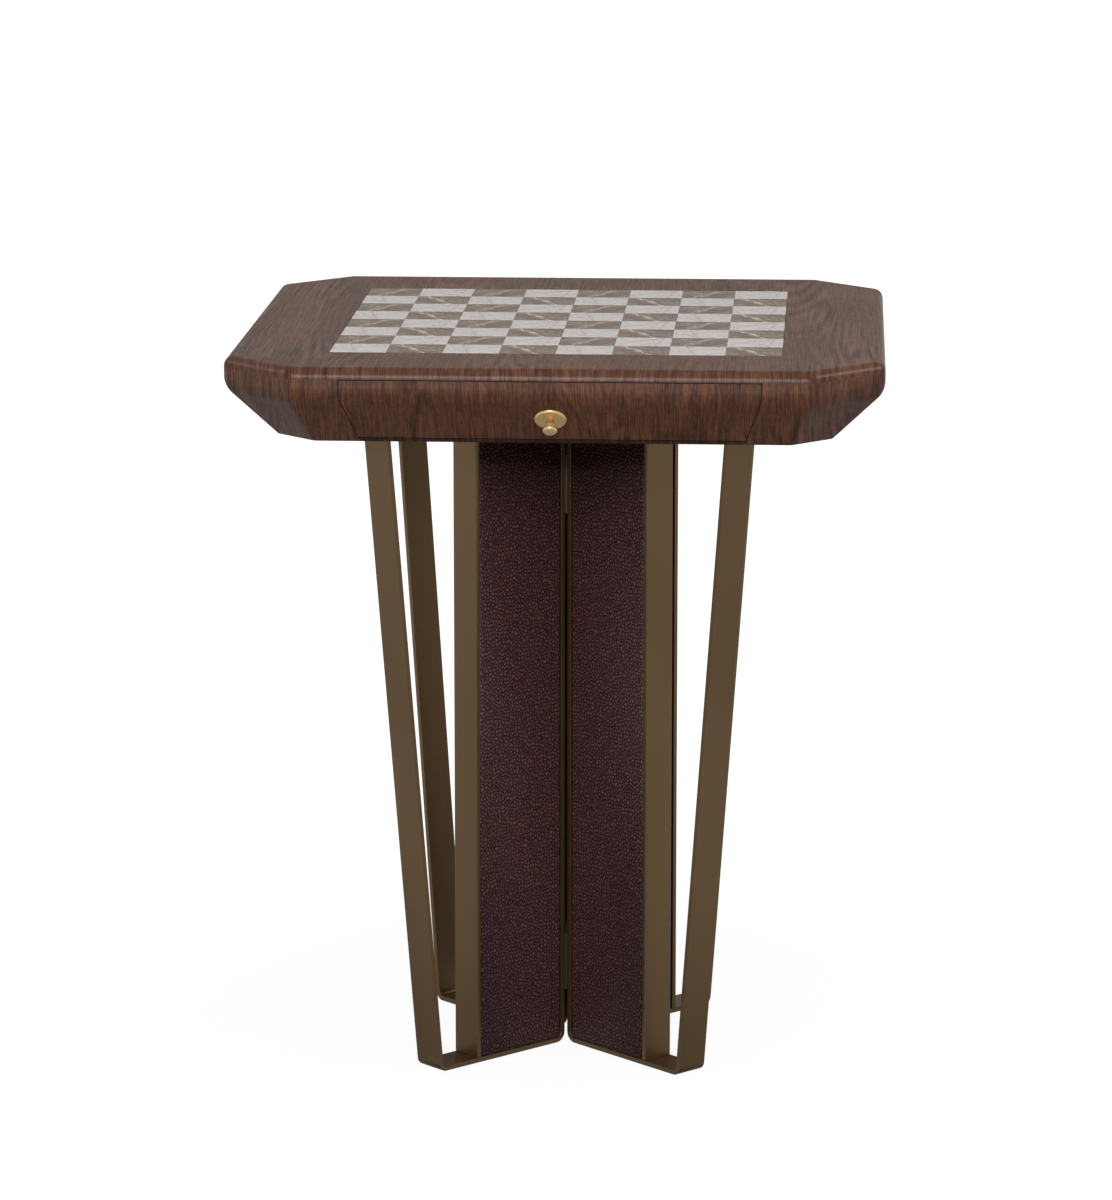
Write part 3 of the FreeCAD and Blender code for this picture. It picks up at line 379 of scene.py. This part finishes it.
def stone_veins():
    """Marble: one long vein, fine branching veins and clouds, repeated from square to square."""
    tree, given, out = new_group(
        "stone_veins",
        [("Vector", "place"), ("Square", "value"), ("Slope", "value"), ("Crossing", "value"),
         ("Seed", "value"), ("Strength", "value")],
        [("Vein", "value"), ("Fine", "value"), ("Cloud", "value")])
    spot = parts(tree, vectors(tree, "DIVIDE", given["Vector"],
                               vector(tree, given["Square"], given["Square"], 1.0)))
    right = sums(tree, "FRACT", spot[0])
    back = sums(tree, "FRACT", spot[1])
    tile = vector(tree, right, back, given["Seed"])
    slant = sums(tree, "SUBTRACT", right, sums(tree, "MULTIPLY", back, given["Slope"]))

    steep = sums(tree, "SQRT", sums(tree, "MULTIPLY_ADD", given["Slope"], given["Slope"], 1.0))
    away = sums(tree, "DIVIDE", sums(tree, "SUBTRACT", slant, given["Crossing"]), steep)
    bend = centred(tree, noise(tree, tile, (2.8, 2.8, 1), 4, 0.65))
    away = sums(tree, "ABSOLUTE", sums(tree, "MULTIPLY_ADD", bend, 0.4, away))
    ragged = noise(tree, tile, (7, 7, 1), 3, 0.7)
    vein = sums(tree, "MULTIPLY", ramp(tree, away, 0.0, 0.034, 1.0, 0.0, True),
                ramp(tree, ragged, 0.36, 0.56))
    haze = sums(tree, "MULTIPLY", ramp(tree, away, 0.0, 0.16, 0.2, 0.0, True), ragged)
    vein = sums(tree, "MAXIMUM", vein, haze)

    fine = noise(tree, vector(tree, slant, back, given["Seed"]), (3.4, 1.3, 1), 4, 0.62)
    fine = sums(tree, "ABSOLUTE", centred(tree, fine))
    fine = sums(tree, "MULTIPLY", ramp(tree, fine, 0.0, 0.016, 1.0, 0.0, True),
                ramp(tree, noise(tree, tile, (2.6, 2.6, 3), 1), 0.42, 0.6))
    cloud = noise(tree, tile, (6, 6, 1), 5, 0.78, 0.6)
    feed(tree, sums(tree, "MULTIPLY", vein, given["Strength"]), out["Vein"])
    feed(tree, fine, out["Fine"])
    feed(tree, ramp(tree, cloud, 0.36, 0.66), out["Cloud"])
    return tree


def satin_cast():
    """Faint unevenness of a satin surface, in colour, gloss and height."""
    tree, given, out = new_group(
        "satin_cast",
        [("Vector", "place"), ("Main", "colour"), ("Shade", "colour"), ("Roughness", "value")],
        [("Color", "colour"), ("Roughness", "value"), ("Height", "value")])
    slow = noise(tree, given["Vector"], (6, 6, 3), 3)
    quick = noise(tree, given["Vector"], (900, 900, 900), 2)
    feed(tree, blend(tree, ramp(tree, slow, 0.35, 0.68), given["Shade"], given["Main"]),
         out["Color"])
    feed(tree, sums(tree, "MULTIPLY_ADD", centred(tree, slow), 0.18, given["Roughness"]),
         out["Roughness"])
    feed(tree, quick, out["Height"])
    return tree


def pebble_grain():
    """Leather grain: rounded pebbles parted by creases, with slow changes of tone. The creases are
    darkened partly by the leather's own tone and partly by painted shade.

    The covers stand on the diagonals, so the way outward and the height lie in their faces.
    """
    tree, given, out = new_group(
        "pebble_grain",
        [("Vector", "place"), ("Pebble", "value"), ("Main", "colour"), ("Crease Shade", "colour")],
        [("Color", "colour"), ("Roughness", "value"), ("Height", "value")])
    place = parts(tree, given["Vector"])
    outward = sums(tree, "ADD", sums(tree, "ABSOLUTE", place[0]), sums(tree, "ABSOLUTE", place[1]))
    outward = sums(tree, "MULTIPLY", outward, math.sqrt(0.5))
    spot = vectors(tree, "DIVIDE", vector(tree, outward, place[2], 0.0),
                   vector(tree, given["Pebble"], given["Pebble"], given["Pebble"]))
    drift = add(tree, "ShaderNodeTexNoise", {"Vector": spot, "Scale": 0.6, "Detail": 2.0})
    spot = vectors(tree, "MULTIPLY_ADD", drift.outputs["Color"], (0.6, 0.6, 0.6), spot)
    cells = add(tree, "ShaderNodeTexVoronoi", {"Vector": spot, "Scale": 1.0},
                feature="DISTANCE_TO_EDGE", voronoi_dimensions="2D").outputs[0]
    small = add(tree, "ShaderNodeTexVoronoi", {"Vector": spot, "Scale": 2.3},
                feature="DISTANCE_TO_EDGE", voronoi_dimensions="2D").outputs[0]
    crest = sums(tree, "MULTIPLY", ramp(tree, cells, 0.03, 0.38, 0.0, 1.0, True),
                 ramp(tree, small, 0.0, 0.25, 0.7, 1.0, True))
    slow = noise(tree, given["Vector"], (11, 11, 6), 2)
    # Painted shade, with some of the leather's own tone: the creases between pebbles go to the
    # crease colour.
    body = blend(tree, crest, given["Crease Shade"], given["Main"])
    body = blend(tree, ramp(tree, slow, 0.35, 0.7, 0.0, 0.06), body, given["Crease Shade"])
    feed(tree, body, out["Color"])
    feed(tree, ramp(tree, crest, 0.0, 1.0, 0.62, 0.46), out["Roughness"])
    feed(tree, crest, out["Height"])
    return tree


def new_finish(name, given=None):
    """A material, its Principled shader with some values given, and its object coordinates."""
    finish = bpy.data.materials.new(name)
    finish.use_nodes = True
    tree = finish.node_tree
    tree.nodes.clear()
    shader = add(tree, "ShaderNodeBsdfPrincipled", given)
    add(tree, "ShaderNodeOutputMaterial", {"Surface": shader.outputs["BSDF"]})
    return finish, tree, shader, add(tree, "ShaderNodeTexCoord").outputs["Object"]


def use_group(tree, make, given):
    """A named group placed in a material."""
    item = add(tree, "ShaderNodeGroup", node_tree=named_group(make))
    for name, value in given.items():
        feed(tree, value, item.inputs[name])
    return item.outputs


def relief(tree, shader, height, depth, strength):
    """Bump from a height."""
    bump = add(tree, "ShaderNodeBump", {"Height": height, "Strength": strength,
                                        "Distance": depth})
    feed(tree, bump.outputs[0], shader.inputs["Normal"])


def cover(tree, shader, made, depth, strength):
    """Give a shader the colour, the roughness and the relief that a group puts out."""
    feed(tree, made["Color"], shader.inputs["Base Color"])
    feed(tree, made["Roughness"], shader.inputs["Roughness"])
    relief(tree, shader, made["Height"], depth, strength)


def veneer(name, across, along, start, dark, ground, light, figure, roughness, flat=None):
    """A lacquered wood finish whose grain runs along one direction.

    The start shifts the figure across, along and in depth, so that no two boards are alike.
    Where flat is given, it is the strength of the figure on the top.
    """
    finish, tree, shader, place = new_finish(name, {"Coat Roughness": 0.4,
                                                    "Specular IOR Level": 0.18})
    if flat is not None:
        low, high = (TOP - depth for depth in FIGURE_FADE)
        figure = ramp(tree, parts(tree, place)[2], low, high, figure, flat)
    made = use_group(tree, veneer_figure, {
        "Vector": place, "Across": across, "Along": along, "Start": start, "Dark": dark,
        "Ground": ground, "Light": light, "Figure": figure, "Roughness": roughness})
    cover(tree, shader, made, depth=0.00012, strength=0.35)
    feed(tree, made["Coat"], shader.inputs["Coat Weight"])
    return finish


def marble(name, stone, ground, cloud, vein, runs):
    """A polished stone finish whose clouds and veins change from row to row."""
    finish, tree, shader, place = new_finish(name, {"Roughness": stone.gloss,
                                                    "Specular IOR Level": 0.15})
    row = sums(tree, "DIVIDE", parts(tree, place)[1], 2 * stone.square)
    other = sums(tree, "LESS_THAN", sums(tree, "FRACT", row), 0.5)
    rows = (sums(tree, "SUBTRACT", 1.0, other), other)
    body = ground
    for number, (slope, crossing, seed, strength, fine) in enumerate(runs):
        made = use_group(tree, stone_veins, {
            "Vector": place, "Square": stone.square, "Slope": slope, "Crossing": crossing,
            "Seed": seed, "Strength": strength})
        shown = rows[number % 2]
        if number < 2:
            body = blend(tree, sums(tree, "MULTIPLY", made["Cloud"], shown), body, cloud)
        thin = sums(tree, "MULTIPLY", made["Fine"], fine)
        body = blend(tree, sums(tree, "MULTIPLY", shown, thin), body, vein)
        body = blend(tree, sums(tree, "MULTIPLY", shown, made["Vein"]), body, vein)
    feed(tree, body, shader.inputs["Base Color"])
    return finish


def satin(name, main, shade, roughness, metallic):
    """A metal finish, painted or bare."""
    finish, tree, shader, place = new_finish(name, {"Metallic": metallic})
    made = use_group(tree, satin_cast, {"Vector": place, "Main": main, "Shade": shade,
                                        "Roughness": roughness})
    cover(tree, shader, made, depth=0.00002, strength=0.15)
    return finish


def paint(piece, finish):
    """Give a piece or a CAD node one finish."""
    piece.data.materials.clear()
    piece.data.materials.append(finish)


def scaled(card, factor):
    """A colour made lighter or darker."""
    return tuple(min(1.0, value * factor) for value in card)


# ---------------------------------------------------------------- meshes


def new_object(name, shape, finish):
    """An object from a bmesh, with its finish."""
    mesh = bpy.data.meshes.new(name)
    shape.to_mesh(mesh)
    shape.free()
    item = bpy.data.objects.new(name, mesh)
    bpy.context.scene.collection.objects.link(item)
    paint(item, finish)
    return item


def new_piece(name, shape, body, finish):
    """An object of the table and body."""
    piece = new_object(name, shape, finish)
    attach(piece, body)
    return piece


def block(low, high):
    """A bmesh block between two corners."""
    shape = bmesh.new()
    bmesh.ops.create_cube(shape, size=1)
    bmesh.ops.scale(shape, vec=high - low, verts=shape.verts)
    bmesh.ops.translate(shape, vec=(high + low) / 2, verts=shape.verts)
    return shape


def round_off(shape, edges, radius, segments):
    """Round some edges of a bmesh."""
    bmesh.ops.bevel(shape, geom=edges, offset=radius, offset_type="OFFSET", affect="EDGES",
                    segments=segments, profile=0.5, material=-1)


def shade_smooth(shape):
    """Smooth shading on every face."""
    for face in shape.faces:
        face.smooth = True


def turned(profile, rounded, steps):
    """A solid of revolution about Z from (radius, height) points.

    Each arris to round is given as its height, its radius and the size of the rounding.
    """
    shape = bmesh.new()
    line = [shape.verts.new((radius, 0, height)) for radius, height in profile]
    edges = [shape.edges.new(pair) for pair in zip(line, line[1:])]
    bmesh.ops.spin(shape, geom=line + edges, cent=(0, 0, 0), axis=Z,
                   angle=math.tau, steps=steps, use_merge=True)
    bmesh.ops.remove_doubles(shape, verts=shape.verts, dist=SAME)
    bmesh.ops.recalc_face_normals(shape, faces=shape.faces)
    for height, radius, size in rounded:
        ring = [edge for edge in shape.edges
                if all(abs(vert.co.z - height) < SAME
                       and abs(vert.co.xy.length - radius) < SAME for vert in edge.verts)]
        round_off(shape, ring, size, segments=8)
    shade_smooth(shape)
    return shape


def soften(node, width):
    """Merge a CAD node's loose triangles and soften its sharp edges."""
    merge = node.modifiers.new("merge", "WELD")
    merge.merge_threshold = 1e-5
    bevel = node.modifiers.new("arris", "BEVEL")
    bevel.width = width
    bevel.segments = 2
    bevel.limit_method = "ANGLE"
    bevel.angle_limit = math.radians(35)
    bevel.harden_normals = True


# ---------------------------------------------------------------- stage


def seen_plainly(tree, path):
    """Whether a ray comes straight from the camera, or through glass."""
    return sums(tree, "MAXIMUM", path["Is Camera Ray"], path["Is Transmission Ray"])


def floor_finish(stage):
    """White where it is seen, pale where it is mirrored, and grey to all other light."""
    finish, tree, shader, place = new_finish("pale_floor", {"Base Color": FLOOR_TONE,
                                                            "Roughness": 0.9})
    path = add(tree, "ShaderNodeLightPath").outputs
    away = vectors(tree, "LENGTH", place)
    plain = seen_plainly(tree, path)
    seen = sums(tree, "MAXIMUM", plain, path["Is Glossy Ray"])
    facing = add(tree, "ShaderNodeLayerWeight", {"Blend": 0.5}).outputs["Facing"]
    mirrored = sums(tree, "MULTIPLY", ramp(tree, away, 0.3, 1.0, 0.7, 1.0),
                    ramp(tree, facing, 0.35, 0.8, stage.near, stage.far))
    mirrored = sums(tree, "MULTIPLY", path["Is Glossy Ray"], mirrored)
    glow = sums(tree, "MAXIMUM", sums(tree, "MULTIPLY", plain, 1.12), mirrored)
    white = add(tree, "ShaderNodeEmission", {"Color": WHITE, "Strength": glow})
    # The floor darkens a little under the table, where its own shade shows through.
    share_seen = sums(tree, "MULTIPLY", seen, ramp(tree, away, 0.4, 1.2, 0.84, 1.0))
    mixed = add(tree, "ShaderNodeMixShader", {0: share_seen, 1: shader.outputs[0],
                                              2: white.outputs[0]})
    feed(tree, mixed.outputs[0], tree.nodes["Material Output"].inputs["Surface"])
    return finish


def add_floor(stage):
    """A wide floor just under the feet."""
    shape = bmesh.new()
    bmesh.ops.create_grid(shape, x_segments=1, y_segments=1, size=FLOOR_REACH)
    bmesh.ops.translate(shape, vec=(0, 0, -FLOOR_DROP), verts=shape.verts)
    floor = new_object("floor", shape, floor_finish(stage))


def add_room(scene, strength):
    """Even light from all sides, and pure white behind the table."""
    world = bpy.data.worlds.new("room")
    world.use_nodes = True
    tree = world.node_tree
    plain = seen_plainly(tree, add(tree, "ShaderNodeLightPath").outputs)
    back = tree.nodes["Background"].inputs
    feed(tree, blend(tree, plain, ROOM_TONE, WHITE), back["Color"])
    feed(tree, ramp(tree, plain, 0.0, 1.0, strength, 1.0), back["Strength"])
    scene.world = world


def add_lamps(scene, stage):
    """Rectangular lamps that all face the table."""
    for name, setting, part, spot, wide, high, mirrored, spread in LAMPS:
        lamp = bpy.data.lights.new(name, "AREA")
        lamp.shape = "RECTANGLE"
        lamp.size, lamp.size_y = wide, high
        lamp.energy = part * getattr(stage, setting)
        item = bpy.data.objects.new(name, lamp)
        scene.collection.objects.link(item)
        item.location = spot
        item.rotation_euler = (LAMP_AIM - Vector(spot)).to_track_quat("-Z", "Y").to_euler()
        item.visible_glossy = mirrored
        item.visible_diffuse = spread


def add_camera(scene, focal):
    """The camera, in front of the table and a little above it."""
    lens = bpy.data.cameras.new("camera")
    lens.lens = focal
    lens.clip_end = 100
    camera = bpy.data.objects.new("camera", lens)
    scene.collection.objects.link(camera)
    camera.location = CAMERA_PLACE
    camera.rotation_euler = (CAMERA_PITCH, 0, CAMERA_TURN)
    scene.camera = camera


# ---------------------------------------------------------------- operators


class CHESS_OT_case(bpy.types.Operator):
    """Veneer the case, the top and the drawer front"""
    bl_idname = "chess_table.case"
    bl_label = "Case and top"

    def execute(self, context):
        wood = context.scene.chess_table.wood
        # Level with the top, the figure is read at its front edge, and on the back at its back edge.
        fall, rise = -HALF - TOP, HALF - TOP
        lays = {
            "top": (X, (0, TOP_CALM, TOP_CALM), (0, fall - TOP_CALM * (TOP - HALF), 0),
                    ["top_panel"]),
            "front": (X, Z, (0, fall, 0),
                      ["cheek_left", "cheek_right", "drawer_front", "corner_front_left",
                       "corner_front_right"]),
            "back": (X, Z, (0, rise, 0),
                     ["apron_back", "corner_back_left", "corner_back_right"]),
            "left": (Y, Z, (1.7, fall, 5), ["apron_left"]),
            "right": (Y, Z, (2.9, fall, 7), ["apron_right"]),
        }
        for name, (across, along, start, members) in lays.items():
            finish = veneer(f"walnut_{name}", across, along, start, wood.dark, wood.ground,
                            wood.light, wood.figure, wood.gloss, wood.flat)
            for member in members:
                paint(NODES[member], finish)
        paint(NODES["front_lipping"],
              veneer("walnut_lipping", X, Z, (0, fall, 0), scaled(wood.dark, 0.7),
                     scaled(wood.dark, 1.2), scaled(wood.light, 0.6), wood.figure, wood.gloss))
        soften(NODES["front_lipping"], 2 * wood.arris)
        soften(NODES["drawer_front"], wood.arris)
        return {"FINISHED"}


class CHESS_OT_squares(bpy.types.Operator):
    """Give the playing squares their two marbles"""
    bl_idname = "chess_table.squares"
    bl_label = "Stone squares"

    def execute(self, context):
        stone = context.scene.chess_table.stone
        paint(NODES["light_squares"], marble("light_marble", stone, stone.light,
                                             stone.light_cloud, stone.light_vein, LIGHT_RUNS))
        paint(NODES["dark_squares"], marble("dark_marble", stone, stone.dark,
                                            stone.dark_cloud, stone.dark_vein, DARK_RUNS))
        return {"FINISHED"}


class CHESS_OT_boards(bpy.types.Operator):
    """Finish the boards inside the case"""
    bl_idname = "chess_table.boards"
    bl_label = "Inner boards"

    def execute(self, context):
        wood = context.scene.chess_table.wood
        dark, light = scaled(wood.board, 0.6), scaled(wood.board, 1.35)
        flat = veneer("board_flat", X, Y, (0.4, 0, 21), dark, wood.board, light,
                      figure=0.3, roughness=0.6)
        rail = veneer("board_rail", Z, Y, (0.9, 0, 23), dark, wood.board, light,
                      figure=0.2, roughness=0.6)
        under = veneer("walnut_under", X, Y, (0.6, 0, 25), wood.dark, wood.ground, wood.light,
                       wood.figure, roughness=0.5)
        paint(NODES["inlay_bed"], flat)
        paint(NODES["case_floor"], under)
        for side in ("left", "right"):
            paint(NODES[f"carrier_{side}"], rail)
            paint(NODES[f"panel_core_front_{side}"], rail)
            paint(NODES[f"panel_core_back_{side}"], rail)
        return {"FINISHED"}


class CHESS_OT_drawer(bpy.types.Operator):
    """Finish the drawer box"""
    bl_idname = "chess_table.drawer"
    bl_label = "Drawer box"

    def execute(self, context):
        wood = context.scene.chess_table.wood
        dark, light = scaled(wood.drawer, 0.66), scaled(wood.drawer, 1.22)
        lays = {
            "drawer_side_left": (Z, Y, (0.2, 0, 31)),
            "drawer_side_right": (Z, Y, (0.5, 0, 33)),
            "drawer_inner_front": (Z, X, (0.7, 0, 35)),
            "drawer_back": (Z, X, (1.1, 0, 37)),
            "drawer_bottom": (X, Y, (1.3, 0, 39)),
        }
        for name, (across, along, start) in lays.items():
            paint(NODES[name], veneer(f"{name}_wood", across, along, start, dark, wood.drawer,
                                      light, figure=0.4, roughness=0.48))
        return {"FINISHED"}


class CHESS_OT_lining(bpy.types.Operator):
    """Lay the felt in the drawer"""
    bl_idname = "chess_table.lining"
    bl_label = "Felt lining"

    def execute(self, context):
        felt = context.scene.chess_table.felt
        finish, tree, shader, place = new_finish("drawer_felt", {"Roughness": 0.95,
                                                                 "Sheen Weight": 0.25})
        pile = noise(tree, place, (1400, 1400, 1400), 3, 0.7)
        mats = noise(tree, place, (45, 45, 45), 3, 0.6)
        level = sums(tree, "MULTIPLY_ADD", mats, 0.6, sums(tree, "MULTIPLY", pile, 0.4))
        feed(tree, blend(tree, ramp(tree, level, 0.3, 0.7), scaled(felt.pile, 0.62),
                         scaled(felt.pile, 1.3)), shader.inputs["Base Color"])
        relief(tree, shader, pile, depth=0.0004, strength=0.6)
        low, high = LINING_BOX
        shape = block(low, high)
        upper = [edge for edge in shape.edges
                 if all(abs(vert.co.z - high.z) < SAME for vert in edge.verts)]
        round_off(shape, upper, felt.edge, segments=3)
        piece = new_piece("felt_lining", shape, "drawer", finish)
        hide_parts("drawer_lining")
        return {"FINISHED"}


class CHESS_OT_metal(bpy.types.Operator):
    """Finish the bronze frames, the joining blocks, the runners and the screws"""
    bl_idname = "chess_table.metal"
    bl_label = "Frames and metal"

    def execute(self, context):
        metal = context.scene.chess_table.metal
        bronze = satin("satin_bronze", metal.bronze, metal.bronze_shade, metal.gloss,
                       metallic=0.85)
        # Painted shade: the joining blocks are made near black so that the slot they sit in shows
        # dark.
        dark = satin("block_painted_shade", metal.block, scaled(metal.block, 0.8), roughness=0.5,
                     metallic=0.5)
        zinc = satin("zinc_plate", metal.steel, scaled(metal.steel, 0.82), roughness=0.34,
                     metallic=1.0)
        for place in WING_TURNS:
            for part in ("frame", "upright"):
                paint(NODES[f"{part}_{place}"], bronze)
                soften(NODES[f"{part}_{place}"], metal.arris)
        for name in ("joining_block_low", "joining_block_high"):
            paint(NODES[name], dark)
        for name in NODES:
            if name.startswith("runner_") or name.endswith("_screws") or name == "knob_stud":
                paint(NODES[name], zinc)
        return {"FINISHED"}


class CHESS_OT_leather(bpy.types.Operator):
    """Stretch the leather over the four panels"""
    bl_idname = "chess_table.leather"
    bl_label = "Leather covers"

    def execute(self, context):
        leather = context.scene.chess_table.leather
        finish, tree, shader, place = new_finish("burgundy_leather", {"Specular IOR Level": 0.35})
        made = use_group(tree, pebble_grain, {
            "Vector": place, "Pebble": leather.pebble, "Main": leather.ground,
            "Crease Shade": leather.crease})
        cover(tree, shader, made, depth=0.0005, strength=0.7)
        low, high = PANEL_BOX
        thick = leather.board
        reach = high.x * math.sqrt(2) - thick / 2
        root = low.x * math.sqrt(2) + thick / 2
        for name, turn in WING_TURNS.items():
            shape = block(Vector((root, -thick / 2, low.z)), Vector((reach, thick / 2, high.z)))
            heel = [edge for edge in shape.edges
                    if all(vert.co.x < root + SAME and vert.co.z < low.z + SAME
                           for vert in edge.verts)]
            round_off(shape, heel, leather.heel, segments=6)
            arrises = [edge for edge in shape.edges
                       if abs(edge.verts[0].co.y - edge.verts[1].co.y) < SAME
                       and any(abs(face.normal.z) < 0.99 and abs(face.normal.y) < 0.5
                               for face in edge.link_faces)]
            round_off(shape, arrises, leather.corner, segments=4)
            ends = [face for face in shape.faces if abs(face.normal.z) > 0.999]
            bmesh.ops.delete(shape, geom=ends, context="FACES")
            shade_smooth(shape)
            bmesh.ops.rotate(shape, cent=(0, 0, 0), verts=shape.verts,
                             matrix=Matrix.Rotation(math.radians(turn), 3, "Z"))
            piece = new_piece(f"cover_{name}", shape, "table", finish)
            hide = piece.modifiers.new("hide", "SOLIDIFY")
            hide.thickness = leather.hide
            hide.offset = -1
            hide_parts(f"leather_{name}")
        return {"FINISHED"}


class CHESS_OT_knob(bpy.types.Operator):
    """Turn the brass knob and its rose"""
    bl_idname = "chess_table.knob"
    bl_label = "Knob"

    def execute(self, context):
        knob = context.scene.chess_table.knob
        shade = scaled(knob.brass, 0.9)
        bright = satin("polished_brass", knob.brass, shade, knob.gloss, metallic=0.7)
        brushed = satin("satin_brass", knob.brass, shade, roughness=0.34, metallic=0.7)
        facing = Vector(Z).rotation_difference(KNOB_AXIS).to_matrix()
        edge, face = knob.rose_thickness - knob.rim, knob.rose - knob.rim
        edge_round, face_round = 0.0003, 0.0005
        rose = turned([(0, 0), (knob.rose, 0), (knob.rose, edge), (face, knob.rose_thickness),
                       (0, knob.rose_thickness)],
                      [(edge, knob.rose, edge_round), (knob.rose_thickness, face, face_round)],
                      knob.steps)
        button = turned([(0, knob.rose_thickness), (knob.neck, knob.rose_thickness),
                         (knob.neck, knob.back), (knob.head, knob.back),
                         (knob.head, knob.reach), (0, knob.reach)],
                        [(knob.back, knob.head, knob.edge), (knob.reach, knob.head, knob.shoulder)],
                        knob.steps)
        for shape, name, finish in ((rose, "rose", brushed), (button, "button", bright)):
            bmesh.ops.rotate(shape, cent=(0, 0, 0), matrix=facing, verts=shape.verts)
            bmesh.ops.translate(shape, vec=KNOB_SEAT, verts=shape.verts)
            piece = new_piece(f"brass_{name}", shape, "drawer", finish)
            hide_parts(f"knob_{name}")
        return {"FINISHED"}


class CHESS_OT_stage(bpy.types.Operator):
    """Set the floor, the lamps and the camera"""
    bl_idname = "chess_table.stage"
    bl_label = "Stage"

    def execute(self, context):
        scene = context.scene
        stage = scene.chess_table.stage
        add_floor(stage)
        add_room(scene, stage.room)
        add_lamps(scene, stage)
        add_camera(scene, stage.focal)
        scene.view_settings.view_transform = "Standard"
        return {"FINISHED"}


class CHESS_PT_table(bpy.types.Panel):
    """The chess table's pieces and settings"""
    bl_idname = "CHESS_PT_table"
    bl_label = "Chess Table"
    bl_space_type = "VIEW_3D"
    bl_region_type = "UI"
    bl_category = "Chess Table"

    def draw(self, context):
        table = context.scene.chess_table
        for operator in OPERATORS:
            self.layout.operator(operator.bl_idname)
        for name in ("wood", "stone", "metal", "leather", "knob", "felt", "stage"):
            box = self.layout.box()
            box.label(text=name.capitalize())
            group = getattr(table, name)
            for key in group.bl_rna.properties.keys():
                if key not in ("rna_type", "name"):
                    box.prop(group, key)


OPERATORS = (CHESS_OT_case, CHESS_OT_squares, CHESS_OT_boards, CHESS_OT_drawer,
             CHESS_OT_lining, CHESS_OT_metal, CHESS_OT_leather, CHESS_OT_knob, CHESS_OT_stage)
CLASSES = (CHESS_PG_wood, CHESS_PG_stone, CHESS_PG_metal, CHESS_PG_leather, CHESS_PG_knob,
           CHESS_PG_felt, CHESS_PG_stage, CHESS_PG_table, *OPERATORS, CHESS_PT_table)


def register():
    """Register the add-on's classes and its settings."""
    for item in CLASSES:
        bpy.utils.register_class(item)
    bpy.types.Scene.chess_table = PointerProperty(type=CHESS_PG_table)


def unregister():
    """Take the add-on's classes and settings away again."""
    del bpy.types.Scene.chess_table
    for item in reversed(CLASSES):
        bpy.utils.unregister_class(item)


def main():
    """Make every piece in turn."""
    register()
    bpy.ops.chess_table.case()
    bpy.ops.chess_table.squares()
    bpy.ops.chess_table.boards()
    bpy.ops.chess_table.drawer()
    bpy.ops.chess_table.lining()
    bpy.ops.chess_table.metal()
    bpy.ops.chess_table.leather()
    bpy.ops.chess_table.knob()
    bpy.ops.chess_table.stage()
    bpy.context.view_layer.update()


if __name__ == "__main__":
    main()
